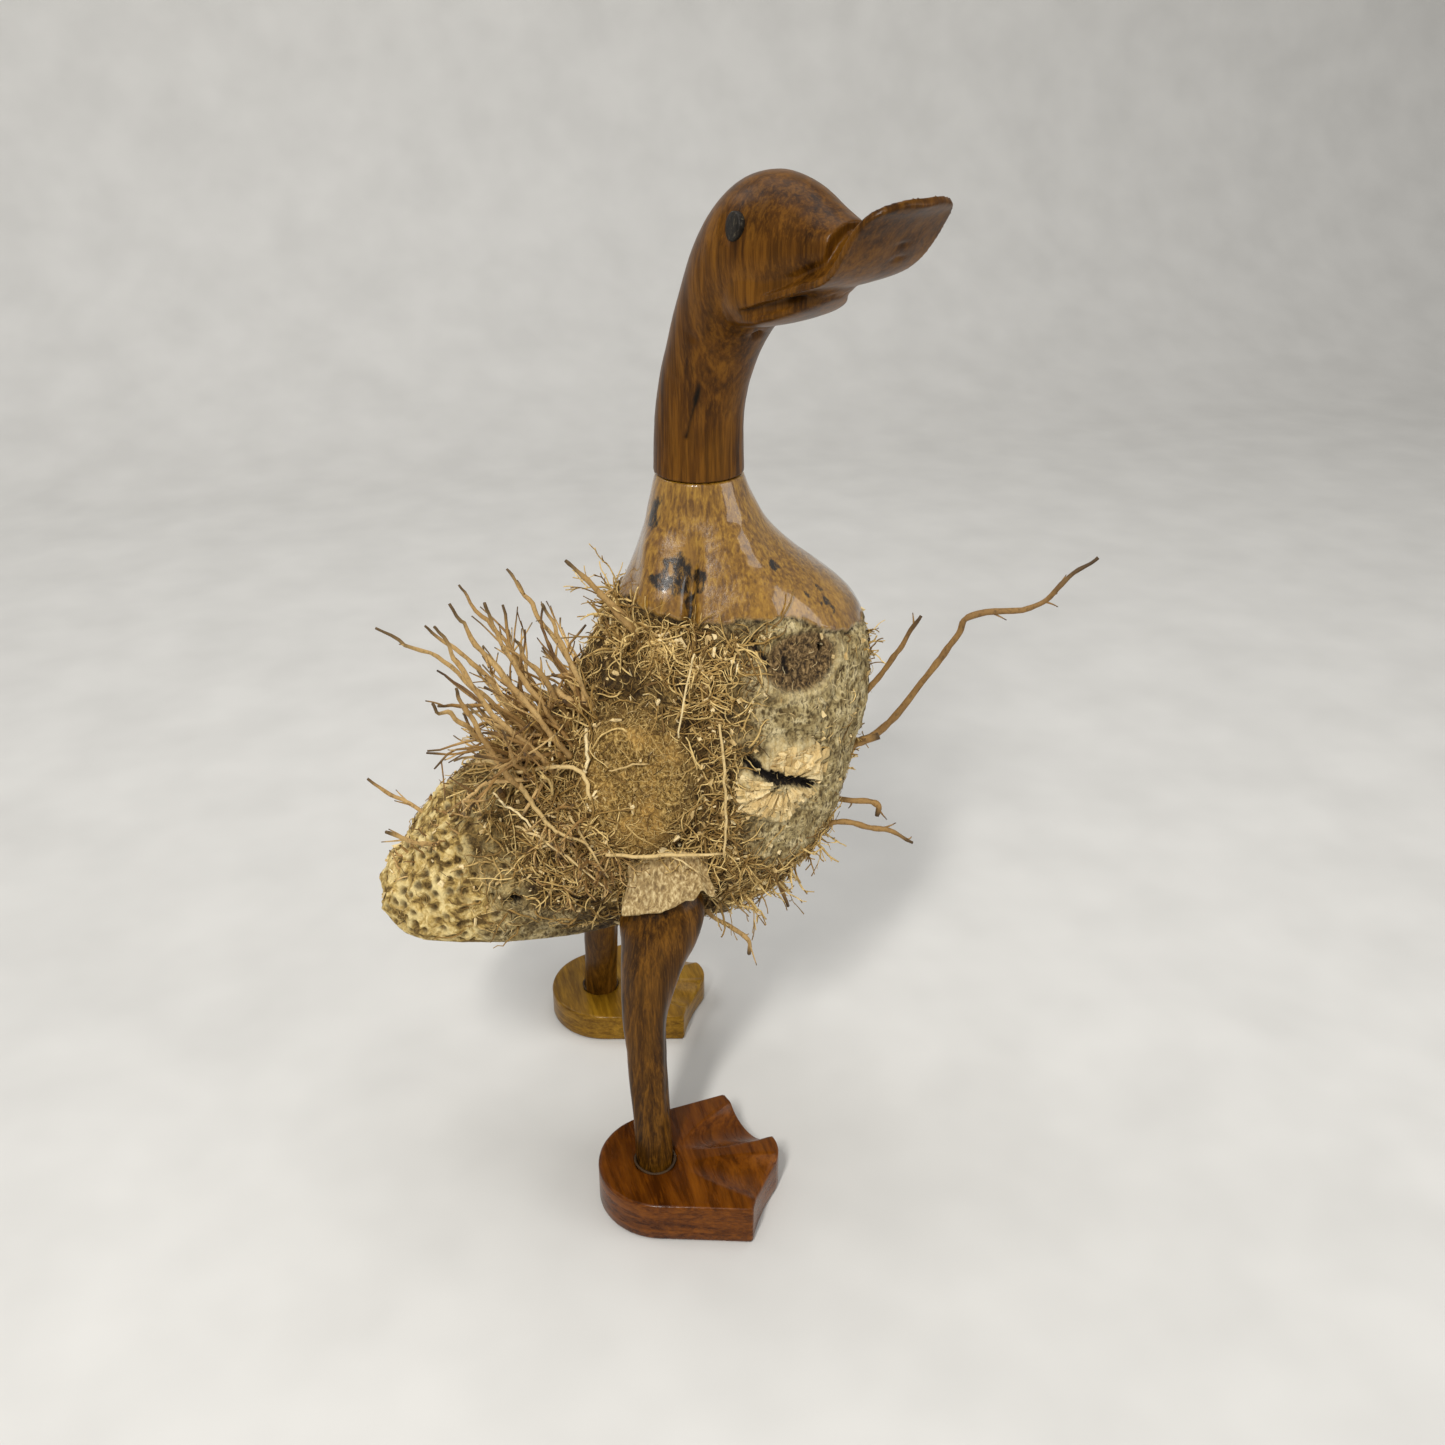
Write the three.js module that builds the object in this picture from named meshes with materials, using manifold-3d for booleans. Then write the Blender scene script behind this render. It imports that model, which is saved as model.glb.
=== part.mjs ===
// Standing duck ornament: a bamboo rhizome as the body, with a carved hardwood head and
// neck, two carved legs and two webbed feet pegged and glued to it.
// Millimetres. +X is the way the body faces, +Y is its left, +Z is up.
import * as THREE from "three";
import { mergeVertices } from "three/addons/utils/BufferGeometryUtils.js";
import Module from "manifold-3d";

// ---- driving dimensions -------------------------------------------------------------
const GAP = 0.3; // glue line between parts that meet
const NECK = { x: 38.5, z: 308, r: 17.5 }; // flat joint between rhizome and neck
const HEAD_TURN = -64.5; // degrees, head looks to the body's right
const NECK_PEG = { r: 5, below: 24, above: 26 };
const STANCE = 68; // each ankle stands this far from the middle
const FOOT_THICK = { right: 19, left: 14.5 };
const FOOT_TURN = { right: -5, left: -2 }; // degrees about the ankle
const ANKLE_R = 8;
const ANKLE_SEAT = 9; // depth of the shank in the foot
const LEG_TOP = { x: 13, y: 40, z: 141 };
const THIGH_PEG = { r: 4.5, up: 17, down: 22 };
const SCREW = { r: 2, head: 4.2, length: 26, sunk: 1.5 };
const EYE = { r: 5, deep: 5, t: 44.5, z: 406.8, side: 20.9, back: 13, up: 9 };

const COLOUR = {
  teak: [0x6b4517, 0.32],
  rhizome: [0x9a8050, 0.7],
  rootlet: [0xa98c5c, 0.75],
  sheath: [0xb19968, 0.8],
  redfoot: [0x6a3a0c, 0.3],
  palefoot: [0x86641c, 0.3],
  eye: [0x18120c, 0.2],
  peg: [0xb8935c, 0.8],
  steel: [0x9a9a98, 0.4],
};

const rad = THREE.MathUtils.degToRad;
const V = (x, y, z) => new THREE.Vector3(x, y, z);
const wasm = await Module();
wasm.setup();

// ---- small tools --------------------------------------------------------------------
function closed(pos, idx) {
  const g = new THREE.BufferGeometry();
  g.setAttribute("position", new THREE.Float32BufferAttribute(pos, 3));
  g.setIndex(idx);
  return g;
}

// A closed skin over a row of rings with the same number of points, ended by fans.
function skin(rings) {
  const n = rings[0].length;
  const pos = [];
  const idx = [];
  for (const r of rings) for (const p of r) pos.push(p.x, p.y, p.z);
  for (let i = 0; i + 1 < rings.length; i++)
    for (let j = 0; j < n; j++) {
      const a = i * n + j;
      const b = i * n + ((j + 1) % n);
      idx.push(a, b, b + n, a, b + n, a + n);
    }
  for (const k of [0, rings.length - 1]) {
    const c = V(0, 0, 0);
    for (const p of rings[k]) c.add(p);
    c.divideScalar(n);
    const m = pos.length / 3;
    pos.push(c.x, c.y, c.z);
    for (let j = 0; j < n; j++) {
      const a = k * n + j;
      const b = k * n + ((j + 1) % n);
      if (k) idx.push(m, a, b);
      else idx.push(m, b, a);
    }
  }
  return closed(pos, idx);
}

function signedVolume(g) {
  const p = g.attributes.position;
  const i = g.index.array;
  const [a, b, c] = [V(0, 0, 0), V(0, 0, 0), V(0, 0, 0)];
  let v = 0;
  for (let k = 0; k < i.length; k += 3) {
    a.fromBufferAttribute(p, i[k]);
    b.fromBufferAttribute(p, i[k + 1]);
    c.fromBufferAttribute(p, i[k + 2]);
    v += a.dot(b.cross(c));
  }
  return v;
}

function solid(geometry) {
  const g = geometry.clone();
  for (const k of ["normal", "uv"]) g.deleteAttribute(k);
  const m = mergeVertices(g, 1e-4);
  const tri = new Uint32Array(m.index.array);
  if (signedVolume(m) < 0)
    for (let i = 0; i < tri.length; i += 3) [tri[i], tri[i + 1]] = [tri[i + 1], tri[i]];
  return new wasm.Manifold(
    new wasm.Mesh({
      numProp: 3,
      vertProperties: new Float32Array(m.attributes.position.array),
      triVerts: tri,
    }),
  );
}

const group = new THREE.Group();
group.name = "standing_duck_ornament";

function put(name, body, look) {
  const m = body.getMesh();
  const g = closed(Array.from(m.vertProperties), Array.from(m.triVerts));
  g.computeVertexNormals();
  const [color, roughness] = COLOUR[look];
  const metalness = look === "steel" ? 0.9 : 0;
  const mesh = new THREE.Mesh(
    g,
    new THREE.MeshStandardMaterial({ color, roughness, metalness }),
  );
  mesh.name = name;
  group.add(mesh);
}

// Rows of numbers run through a Catmull-Rom curve, `per` steps between rows.
function smoothRows(rows, per) {
  const out = [];
  const at = (i) => rows[Math.min(Math.max(i, 0), rows.length - 1)];
  for (let i = 0; i + 1 < rows.length; i++)
    for (let s = 0; s < per; s++) {
      const t = s / per;
      const [a, b, c, d] = [at(i - 1), at(i), at(i + 1), at(i + 2)];
      out.push(
        b.map((_, k) => {
          const m0 = (c[k] - a[k]) / 2;
          const m1 = (d[k] - b[k]) / 2;
          const t2 = t * t;
          const t3 = t2 * t;
          return (
            (2 * t3 - 3 * t2 + 1) * b[k] + (t3 - 2 * t2 + t) * m0 +
            (3 * t2 - 2 * t3) * c[k] + (t3 - t2) * m1
          );
        }),
      );
    }
  out.push(rows[rows.length - 1]);
  return out;
}

// A superellipse ring about c with half axes a along u and b along v.
function ring(c, u, v, a, b, n, power = 2, ripple = () => 1) {
  const out = [];
  for (let j = 0; j < n; j++) {
    const w = (2 * Math.PI * j) / n;
    const [cs, sn] = [Math.cos(w), Math.sin(w)];
    const e = 2 / power;
    const k = ripple(w);
    out.push(
      c.clone()
        .addScaledVector(u, k * a * Math.sign(cs) * Math.abs(cs) ** e)
        .addScaledVector(v, k * b * Math.sign(sn) * Math.abs(sn) ** e),
    );
  }
  return out;
}

// A round rod through points, its radius running through the list `radii`.
function rod(points, radii, n = 7, per = 2) {
  const rows = smoothRows(points.map((p, i) => [...p, radii[i]]), per);
  const rings = [];
  let u = V(0, 1, 0);
  rows.forEach((r, i) => {
    const p = V(...r.slice(0, 3));
    const a = rows[Math.max(i - 1, 0)];
    const b = rows[Math.min(i + 1, rows.length - 1)];
    const d = V(b[0] - a[0], b[1] - a[1], b[2] - a[2]).normalize();
    u.addScaledVector(d, -u.dot(d)).normalize();
    const v = d.clone().cross(u);
    rings.push(ring(p, u, v, r[3], r[3], n));
  });
  return solid(skin(rings));
}

const peg = (a, b, r, n = 24) => rod([a, b], [r, r], n, 1);

// ---- rhizome body -------------------------------------------------------------------
// Upright part, by height: [z, back x, front x, half width]
const COLUMN = [
  [308, 21, 56, 17.5],
  [298, 19, 60, 19.5],
  [287, 16.5, 66, 24],
  [276, 13, 76, 30],
  [264, 8, 92, 37],
  [251, 1, 105, 43],
  [236, -8, 110, 47.5],
  [215, -18, 111, 50.5],
  [195, -24, 109.5, 51],
  [175, -25, 105, 50],
  [158, -22, 100, 48],
  [143, -15, 93, 45],
  [129, -6, 82, 39],
  [117, 6, 68, 30],
  [109, 20, 52, 17],
];
// Tail part, from the middle of the ball back: [x, low z, top z, half width]
const TAIL = [
  [48, 118, 205, 38],
  [24, 110, 214, 43],
  [0, 106, 219, 45],
  [-20, 104, 211, 44],
  [-40, 103, 199, 41],
  [-56, 103, 189, 38],
  [-70, 104, 179, 35],
  [-80, 106, 168, 32],
  [-89, 110, 156, 28],
  [-97, 117, 147, 21],
  [-101.5, 125, 138, 10],
];
const SAWN = { x: -97, z: 124.5, slope: 0.165 }; // flat sawn underside of the tail

function rhizome() {
  const upright = smoothRows(COLUMN, 2).map(([z, back, front, half], i) =>
    ring(V((back + front) / 2, 0, z), V(1, 0, 0), V(0, 1, 0), (front - back) / 2, half, 40,
      2, (w) => 1 + (z < 245 ? 0.02 * Math.sin(5 * w + 0.9 * i) : 0)),
  );
  const back = smoothRows(TAIL, 2).map(([x, low, top, half], i) =>
    ring(V(x, 0, (low + top) / 2), V(0, 1, 0), V(0, 0, 1), half, (top - low) / 2, 32,
      2, () => 1 + (x < -10 && i % 2 ? 0.025 : 0)),
  );
  const a = SAWN.slope;
  const cut = (x) => SAWN.z - a * (x - SAWN.x);
  const under = [-140, 16].map((x) => [
    V(x, -90, cut(x)), V(x, 90, cut(x)), V(x, 90, 60), V(x, -90, 60),
  ]);
  return solid(skin(upright)).add(solid(skin(back))).subtract(solid(skin(under)));
}

// ---- legs: rows of [height share, x shift, half width along x, half width along y] ----
const LEG = [
  [1.0, 0, 13, 9.5],
  [0.96, 0, 16.5, 12],
  [0.9, -1, 17.8, 12.8],
  [0.83, -2, 16, 12.8],
  [0.75, -4.5, 13.4, 12.2],
  [0.66, -6.5, 11, 10.8],
  [0.56, -7.2, 9.2, 9.4],
  [0.44, -5.9, 8.4, 8.6],
  [0.28, -3.8, 8.2, 8.3],
  [0.12, -1.6, ANKLE_R, ANKLE_R],
  [0.0, 0, ANKLE_R, ANKLE_R],
];
// `grow` makes the same leg a little fatter, for the seat it sits in.
function leg(side, thick, grow = 0, below = grow) {
  const foot = V(0, side * STANCE, thick - ANKLE_SEAT - below);
  const top = V(LEG_TOP.x, side * LEG_TOP.y, LEG_TOP.z + grow);
  const rings = smoothRows(LEG, 1).map(([s, dx, a, b]) => {
    const c = foot.clone().lerp(top, s).add(V(dx, 0, 0));
    return ring(c, V(1, 0, 0), V(0, 1, 0), a + grow, b + grow, 26, 2.1);
  });
  return solid(skin(rings));
}

// ---- webbed foot --------------------------------------------------------------------
// Three toes, the middle one longest, with hollow webs between them and a round heel.
function foot(side, thick, turn) {
  const s = new THREE.Shape();
  s.moveTo(4 + 29 * Math.cos(rad(102)), 29 * Math.sin(rad(102)));
  s.absarc(4, 0, 29, rad(102), rad(258), false);
  s.lineTo(37, -36.5);
  s.quadraticCurveTo(42, -22, 53, -8);
  s.quadraticCurveTo(57, 0, 53, 8);
  s.quadraticCurveTo(42, 22, 37, 36.5);
  s.closePath();
  const g = new THREE.ExtrudeGeometry(s, {
    depth: thick - 2.4, bevelEnabled: true, bevelSize: 1.2, bevelThickness: 1.2,
    bevelOffset: -1.2, bevelSegments: 1, curveSegments: 12,
  });
  g.translate(0, 0, 1.2);
  let body = solid(g);
  // a gouge runs forward and down along each web
  for (const k of [-1, 1]) {
    const lift = thick + 21;
    const out = 15 * k;
    const less = side < 0 && k > 0 ? 0 : 4; // the right foot's inner web is cut deepest
    const scoop = rod(
      [[12, 6 * k, lift + 7], [34, out, lift + less / 2], [62, out * 1.5, lift - 8 + less]],
      [21, 25, 27], 28, 1,
    );
    body = body.subtract(scoop);
  }
  const screwHole = peg([0, 0, -1], [0, 0, thick], SCREW.r + GAP, 16);
  const sink = peg([0, 0, -1], [0, 0, SCREW.sunk + 2.6], SCREW.head + GAP, 20);
  body = body.subtract(screwHole).subtract(sink);
  body = body.rotate([0, 0, turn]).translate([0, side * STANCE, 0]);
  return body.subtract(leg(side, thick, 1, GAP)); // the ankle sits loose in its bore, glued
}

function screw(side, thick) {
  const y = side * STANCE;
  const z0 = SCREW.sunk;
  const rings = [[z0, SCREW.head], [z0 + 0.6, SCREW.head], [z0 + 2.4, SCREW.r],
    [SCREW.length - 5, SCREW.r], [SCREW.length, 0.5]]
    .map(([z, r]) => ring(V(0, y, z), V(1, 0, 0), V(0, 1, 0), r, r, 18));
  const slot = solid(new THREE.BoxGeometry(12, 1, 1.2)).translate([0, y, z0]);
  return solid(skin(rings)).subtract(slot);
}

// ---- head and neck, in the head's own frame: +X the way the bill points ---------------
// Neck, by height: [z, forward shift, radius]
const NECK_ROWS = [
  [308, 0, 17.5], [320, 0.1, 17.2], [332, 0.9, 16.9], [345, 3.8, 16.8], [357, 8.2, 17],
  [368, 13, 17.6], [379, 18.5, 18], [389, 24, 17], [398, 30, 13],
];
// Skull and face, going forward: [t, middle z, half height, half width]
const SKULL = [
  [12.6, 396, 3, 3], [14.2, 396.4, 7, 7.5], [18, 397, 11.5, 12.5], [24, 398, 16.8, 17],
  [32, 399.2, 21, 20], [41, 399.8, 23.4, 21.4], [50, 399, 23.4, 20.8],
  [58, 399, 21.6, 19], [65, 400, 18, 17], [72, 401, 13.4, 13], [77, 402, 8, 8],
];
// Upper bill: [t, z of the sole, tilt of the section in degrees, half width, ridge height]
const BILL = [
  [50, 381, 6, 16, 20], [58, 383.4, 9, 17.2, 26], [66, 386, 12, 17.4, 26],
  [74, 388.6, 14, 17.4, 24], [82, 390.8, 20, 17.8, 20.5], [89, 394, 32, 18.8, 16.5],
  [94.5, 398.6, 46, 20, 12], [98.8, 404, 54, 20.6, 8], [102.6, 409.4, 54, 20.4, 5],
  [106.8, 414.2, 46, 18.6, 3.4], [110.4, 416.8, 38, 14.4, 3], [113, 418.4, 34, 8, 2.4],
];
const BILL_EDGE = 3.2;
// Lower bill: [t, low z, high z, half width]
const MANDIBLE = [
  [36, 369.5, 384, 15], [45, 371.8, 386, 16.4], [54, 374, 386, 16.8], [61, 376.8, 386.4, 15.8],
  [67, 380, 387.5, 13], [71.5, 383.4, 388.6, 9], [74.4, 386.4, 389.4, 4.4],
];

function headAndNeck() {
  const X = V(1, 0, 0);
  const Y = V(0, 1, 0);
  const Z = V(0, 0, 1);
  const neck = smoothRows(NECK_ROWS, 1).map(([z, t, r]) => ring(V(t, 0, z), X, Y, r, r, 32));
  const skull = smoothRows(SKULL, 1).map(([t, z, h, w]) => ring(V(t, 0, z), Y, Z, w, h, 32, 2.15));
  const bill = smoothRows(BILL, 1).map(([t, z, tilt, w, high]) => {
    const up = V(-Math.sin(rad(tilt)), 0, Math.cos(rad(tilt)));
    const base = V(t, 0, z);
    const out = [];
    const n = 14;
    for (let j = 0; j <= n; j++) {
      const y = w * (2 * j / n - 1);
      out.push(base.clone().addScaledVector(Y, y).addScaledVector(up, 0.9 * (y / w) ** 2));
    }
    for (let j = n; j >= 0; j--) {
      const q = 2 * j / n - 1;
      const bump = (high - BILL_EDGE) * Math.exp(-((q / 0.62) ** 2)) * (1 - q ** 6);
      const h = BILL_EDGE * 0.9 + Math.max(bump, 0);
      out.push(base.clone().addScaledVector(Y, w * q * 0.97).addScaledVector(up, h));
    }
    return out;
  });
  const jaw = smoothRows(MANDIBLE, 1).map(([t, lo, hi, w]) =>
    ring(V(t, 0, (lo + hi) / 2), Y, Z, w, (hi - lo) / 2, 24, 2.3));
  let body = solid(skin(neck)).add(solid(skin(skull))).add(solid(skin(bill)))
    .add(solid(skin(jaw)));
  body = body.subtract(peg([0, 0, 300], [0, 0, NECK.z + NECK_PEG.above + GAP + 0.6],
    NECK_PEG.r + GAP));
  for (const side of [-1, 1]) body = body.subtract(eye(side, GAP));
  return body;
}

// An oval-looking round plug let into the side of the head, facing a little back and up.
function eye(side, grow = 0) {
  const n = V(-Math.sin(rad(EYE.back)), side * Math.cos(rad(EYE.back)), Math.sin(rad(EYE.up)));
  n.normalize();
  const c = V(EYE.t, side * EYE.side, EYE.z);
  const inner = c.clone().addScaledVector(n, -EYE.deep - grow);
  const u = V(0, 0, 1).addScaledVector(n, -n.z).normalize();
  const v = n.clone().cross(u);
  const rows = grow
    ? [[0, EYE.r + grow], [EYE.deep + 9, EYE.r + grow]]
    : [[0, EYE.r], [EYE.deep - 0.4, EYE.r], [EYE.deep + 0.3, EYE.r * 0.8],
      [EYE.deep + 0.7, EYE.r * 0.4]];
  return solid(skin(rows.map(([d, r]) =>
    ring(inner.clone().addScaledVector(n, d), u, v, r, r, 28))));
}

// ---- rootlets: [name, points from the rhizome outwards, radii] ------------------------
const ROOTLETS = [
  ["breast_root_long", [[97, -6, 178], [105, -8, 181], [119, -10, 188], [138, -14, 216],
    [148, -16, 232], [153, -18, 241], [180, -22, 244], [189, -24, 254], [204, -26, 265]],
    [2.2, 2.2, 1.9, 1.8, 1.7, 1.6, 1.4, 1.3, 0.9]],
  ["breast_root_upper", [[97, -12, 196], [104, -14, 204], [112, -17, 216], [120, -20, 230],
    [128, -22, 245]], [1.8, 1.7, 1.5, 1.3, 0.8]],
  ["breast_root_stub", [[92, -14, 182], [99, -16, 184], [105, -18, 187], [113, -20, 190]],
    [2.6, 2.5, 2.3, 1.8]],
  ["breast_root_hooked", [[82, -15, 163], [90, -18, 162], [99, -20, 160], [108, -22, 159],
    [113, -24, 157], [112, -25, 153]], [1.9, 1.8, 1.6, 1.6, 1.9, 1.2]],
  ["belly_root_front", [[74, -17, 146], [82, -20, 147], [96, -24, 152], [108, -28, 149],
    [116, -30, 147], [127, -33, 141]], [1.8, 1.7, 1.5, 1.5, 1.3, 0.8]],
  ["belly_root_low", [[54, -22, 146], [59, -26, 139], [65, -28, 130], [71, -30, 115]],
    [1.5, 1.4, 1.2, 0.8]],
  ["thigh_side_root", [[30, -33, 126], [35, -35, 119], [42, -36, 114], [50, -37, 106],
    [51, -38, 98]], [1.4, 1.3, 1.2, 1.1, 0.8]],
  ["shoulder_root_tuft", [[10, -18, 246], [2, -22, 258], [-7, -24, 270], [-20, -27, 285]],
    [2.6, 2.2, 1.5, 0.8]],
  ["back_root_a", [[-22, -24, 200], [-31, -28, 215], [-43, -31, 236], [-55, -34, 255],
    [-65, -36, 276]], [1.5, 1.4, 1.3, 1.1, 0.7]],
  ["back_root_b", [[-20, -16, 203], [-28, -19, 216], [-38, -22, 236], [-47, -25, 255],
    [-53, -28, 273]], [1.4, 1.3, 1.2, 1.1, 0.7]],
  ["back_root_c", [[-30, -27, 196], [-38, -31, 210], [-51, -34, 226], [-63, -36, 248],
    [-71, -38, 268]], [1.5, 1.4, 1.3, 1.2, 0.7]],
  ["back_root_long", [[-30, -8, 198], [-38, -13, 210], [-52, -19, 226], [-71, -26, 250],
    [-91, -34, 267]], [1.5, 1.4, 1.2, 1.0, 0.6]],
  ["back_root_d", [[-42, -26, 188], [-49, -32, 200], [-56, -38, 218], [-62, -41, 233],
    [-67, -43, 245]], [1.4, 1.3, 1.2, 1.1, 0.7]],
  ["back_root_e", [[-44, -13, 192], [-51, -20, 205], [-60, -28, 218], [-68, -35, 229],
    [-76, -40, 238]], [1.5, 1.4, 1.2, 1.1, 0.7]],
  ["back_root_f", [[-16, -8, 206], [-24, -13, 219], [-32, -18, 236], [-41, -24, 254]],
    [1.5, 1.4, 1.2, 0.7]],
  ["back_root_g", [[-9, -16, 215], [-15, -20, 228], [-23, -24, 250], [-30, -28, 269]],
    [1.4, 1.3, 1.1, 0.7]],
  ["back_root_left_a", [[-24, 20, 202], [-33, 25, 218], [-45, 31, 238], [-57, 38, 254]],
    [1.5, 1.4, 1.2, 0.7]],
  ["back_root_left_b", [[-34, 12, 195], [-44, 17, 210], [-57, 22, 228], [-72, 27, 242]],
    [1.5, 1.4, 1.2, 0.7]],
  ["back_root_left_c", [[-10, 22, 212], [-17, 29, 226], [-27, 36, 243], [-37, 44, 257]],
    [1.4, 1.3, 1.1, 0.7]],
  ["tail_root_upper", [[-74, -15, 160], [-82, -21, 166], [-89, -24, 170], [-98, -27, 178]],
    [1.3, 1.2, 1.1, 0.7]],
  ["tail_root_lower", [[-78, 8, 160], [-86, 13, 166], [-94, 18, 169], [-103, 22, 176]],
    [1.3, 1.2, 1.1, 0.7]],
];

// ---- papery sheath: a curved scale over the top of each thigh --------------------------
// `grow` gives the shallow bed it lies in.
function sheath(side, grow = 0) {
  const rings = [];
  const rows = 7;
  const n = 10;
  for (let i = 0; i <= rows; i++) {
    const s = i / rows;
    const reach = 15.5 + 3.5 * s + 0.6 * Math.sin(11 * s) + grow;
    const at = (q, off) => {
      const x = 14 + reach * q - 3 * s;
      const bulge = 44.6 + 12 * s ** 1.4 - 0.008 * (x - 16) ** 2;
      const top = 162.3 - 3.1 * q * q - 1.3 * q + grow;
      const low = 140.2 + 2.7 * (q + 1) + 0.8 * q * q - grow;
      return V(x, side * (bulge + off), top + (low - top) * s);
    };
    const out = [];
    for (let j = 0; j <= n; j++) out.push(at((2 * j) / n - 1, -grow));
    for (let j = n; j >= 0; j--) out.push(at((2 * j) / n - 1, 1.5 + grow));
    rings.push(out);
  }
  return solid(skin(rings));
}

// ---- put it together ------------------------------------------------------------------
let root = rhizome();
root = root.subtract(peg([NECK.x, 0, NECK.z - NECK_PEG.below - GAP - 0.6],
  [NECK.x, 0, NECK.z + 9], NECK_PEG.r + GAP));
for (const [word, side] of [["right", -1], ["left", 1]]) {
  const thick = FOOT_THICK[word];
  const top = [LEG_TOP.x, side * LEG_TOP.y, LEG_TOP.z];
  const inward = [top[0] + 3, side * (LEG_TOP.y - 5), top[2] + THIGH_PEG.up];
  const down = [top[0] - 3.5, side * (LEG_TOP.y + 5), top[2] - THIGH_PEG.down];
  const longer = (a, b, k) => a.map((v, i) => v + (v - b[i]) * k);
  const hole = peg(longer(down, inward, 0.02), longer(inward, down, 0.02), THIGH_PEG.r + GAP);
  const pilot = peg([0, side * STANCE, -5], [0, side * STANCE, SCREW.length + 1],
    SCREW.r + GAP, 16);
  root = root.subtract(leg(side, thick, GAP)).subtract(hole).subtract(sheath(side, GAP));
  put("leg_" + word, leg(side, thick).subtract(hole).subtract(pilot), "teak");
  put("thigh_dowel_" + word, peg(down, inward, THIGH_PEG.r), "peg");
  put("foot_" + word, foot(side, thick, FOOT_TURN[word]), side < 0 ? "redfoot" : "palefoot");
  put("foot_screw_" + word, screw(side, thick), "steel");
  put("sheath_scale_" + word, sheath(side), "sheath");
}
for (const [name, points, radii] of ROOTLETS) {
  root = root.subtract(rod(points, radii.map((r) => r + GAP)));
  put(name, rod(points, radii), "rootlet");
}
put("root_body", root, "rhizome");
put("neck_dowel", peg([NECK.x, 0, NECK.z - NECK_PEG.below],
  [NECK.x, 0, NECK.z + NECK_PEG.above], NECK_PEG.r), "peg");

const turned = (s) => s.rotate([0, 0, HEAD_TURN]).translate([NECK.x, 0, 0]);
put("head_and_neck", turned(headAndNeck()).translate([0, 0, GAP]), "teak");
put("eye_right", turned(eye(-1)).translate([0, 0, GAP]), "eye");
put("eye_left", turned(eye(1)).translate([0, 0, GAP]), "eye");

// Stand the part on z = 0 with the middle of its box over the origin.
group.updateMatrixWorld(true);
const box = new THREE.Box3().setFromObject(group);
group.position.set(-(box.min.x + box.max.x) / 2, -(box.min.y + box.max.y) / 2, -box.min.z);
group.updateMatrixWorld(true);

export default group;
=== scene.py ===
# Standing duck ornament: bamboo-root body with root hair, carved and lacquered head, legs
# and feet. Lengths below are millimetres in the body's own frame: +X forward, +Y left,
# +Z up, origin on the floor between the ankles. place() carries them to the row frame.
import math

import bpy
import numpy as np
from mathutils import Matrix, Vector
from mathutils.bvhtree import BVHTree


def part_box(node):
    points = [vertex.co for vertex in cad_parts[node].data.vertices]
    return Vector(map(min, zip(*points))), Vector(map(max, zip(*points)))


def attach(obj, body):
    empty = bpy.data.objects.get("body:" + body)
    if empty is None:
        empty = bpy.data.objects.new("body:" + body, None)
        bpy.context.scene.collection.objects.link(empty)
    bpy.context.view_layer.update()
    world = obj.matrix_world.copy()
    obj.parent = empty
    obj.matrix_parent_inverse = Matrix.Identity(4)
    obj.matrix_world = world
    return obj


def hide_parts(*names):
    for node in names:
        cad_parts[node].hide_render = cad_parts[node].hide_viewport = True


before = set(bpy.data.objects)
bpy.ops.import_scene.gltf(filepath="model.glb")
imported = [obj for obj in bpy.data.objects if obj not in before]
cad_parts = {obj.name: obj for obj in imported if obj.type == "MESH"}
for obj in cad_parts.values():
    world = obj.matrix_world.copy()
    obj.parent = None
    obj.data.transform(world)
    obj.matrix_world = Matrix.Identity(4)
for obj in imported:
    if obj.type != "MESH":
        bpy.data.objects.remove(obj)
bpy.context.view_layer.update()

SIDES = ((-1, "right"), (1, "left"))
NECK_X = 38.5  # the neck's middle
NECK_Z = 308.0  # the flat joint between body and neck
STANCE = 68.0  # each ankle stands this far from the middle
FOOT_THICK = {"right": 19.0, "left": 14.5}
lo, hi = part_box("neck_dowel")
SHIFT = np.array([(lo.x + hi.x) * 500 - NECK_X, (lo.y + hi.y) * 500, 0.0])


def place(p):
    return (np.asarray(p, float) + SHIFT) * 0.001


# ---------------------------------------------------------------- camera and light
def look_axes(turn, tip):
    a, e = math.radians(turn), math.radians(tip)
    return Vector((math.sin(a) * math.cos(e), math.cos(a) * math.cos(e), -math.sin(e)))


cam_data = bpy.data.cameras.new("camera")
cam_data.sensor_width = 36.0
cam_data.lens = 36.03
cam_data.clip_start = 0.01
cam = bpy.data.objects.new("camera", cam_data)
bpy.context.scene.collection.objects.link(cam)
cam.location = place((-92, -540, 479))
cam.rotation_mode = "QUATERNION"
cam.rotation_quaternion = look_axes(14.55, 27.0).to_track_quat("-Z", "Y")
bpy.context.scene.camera = cam


def lamp(name, at, size, power, colour):
    """A soft lamp aimed at the middle of the duck; places in metres."""
    d = bpy.data.lights.new(name, "AREA")
    d.shape = "RECTANGLE"
    d.size, d.size_y = size
    d.energy = power
    d.color = colour
    o = bpy.data.objects.new(name, d)
    bpy.context.scene.collection.objects.link(o)
    o.location = Vector(at)
    o.rotation_mode = "QUATERNION"
    o.rotation_quaternion = (Vector((0, 0, 0.22)) - Vector(at)).to_track_quat("-Z", "Y")


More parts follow.
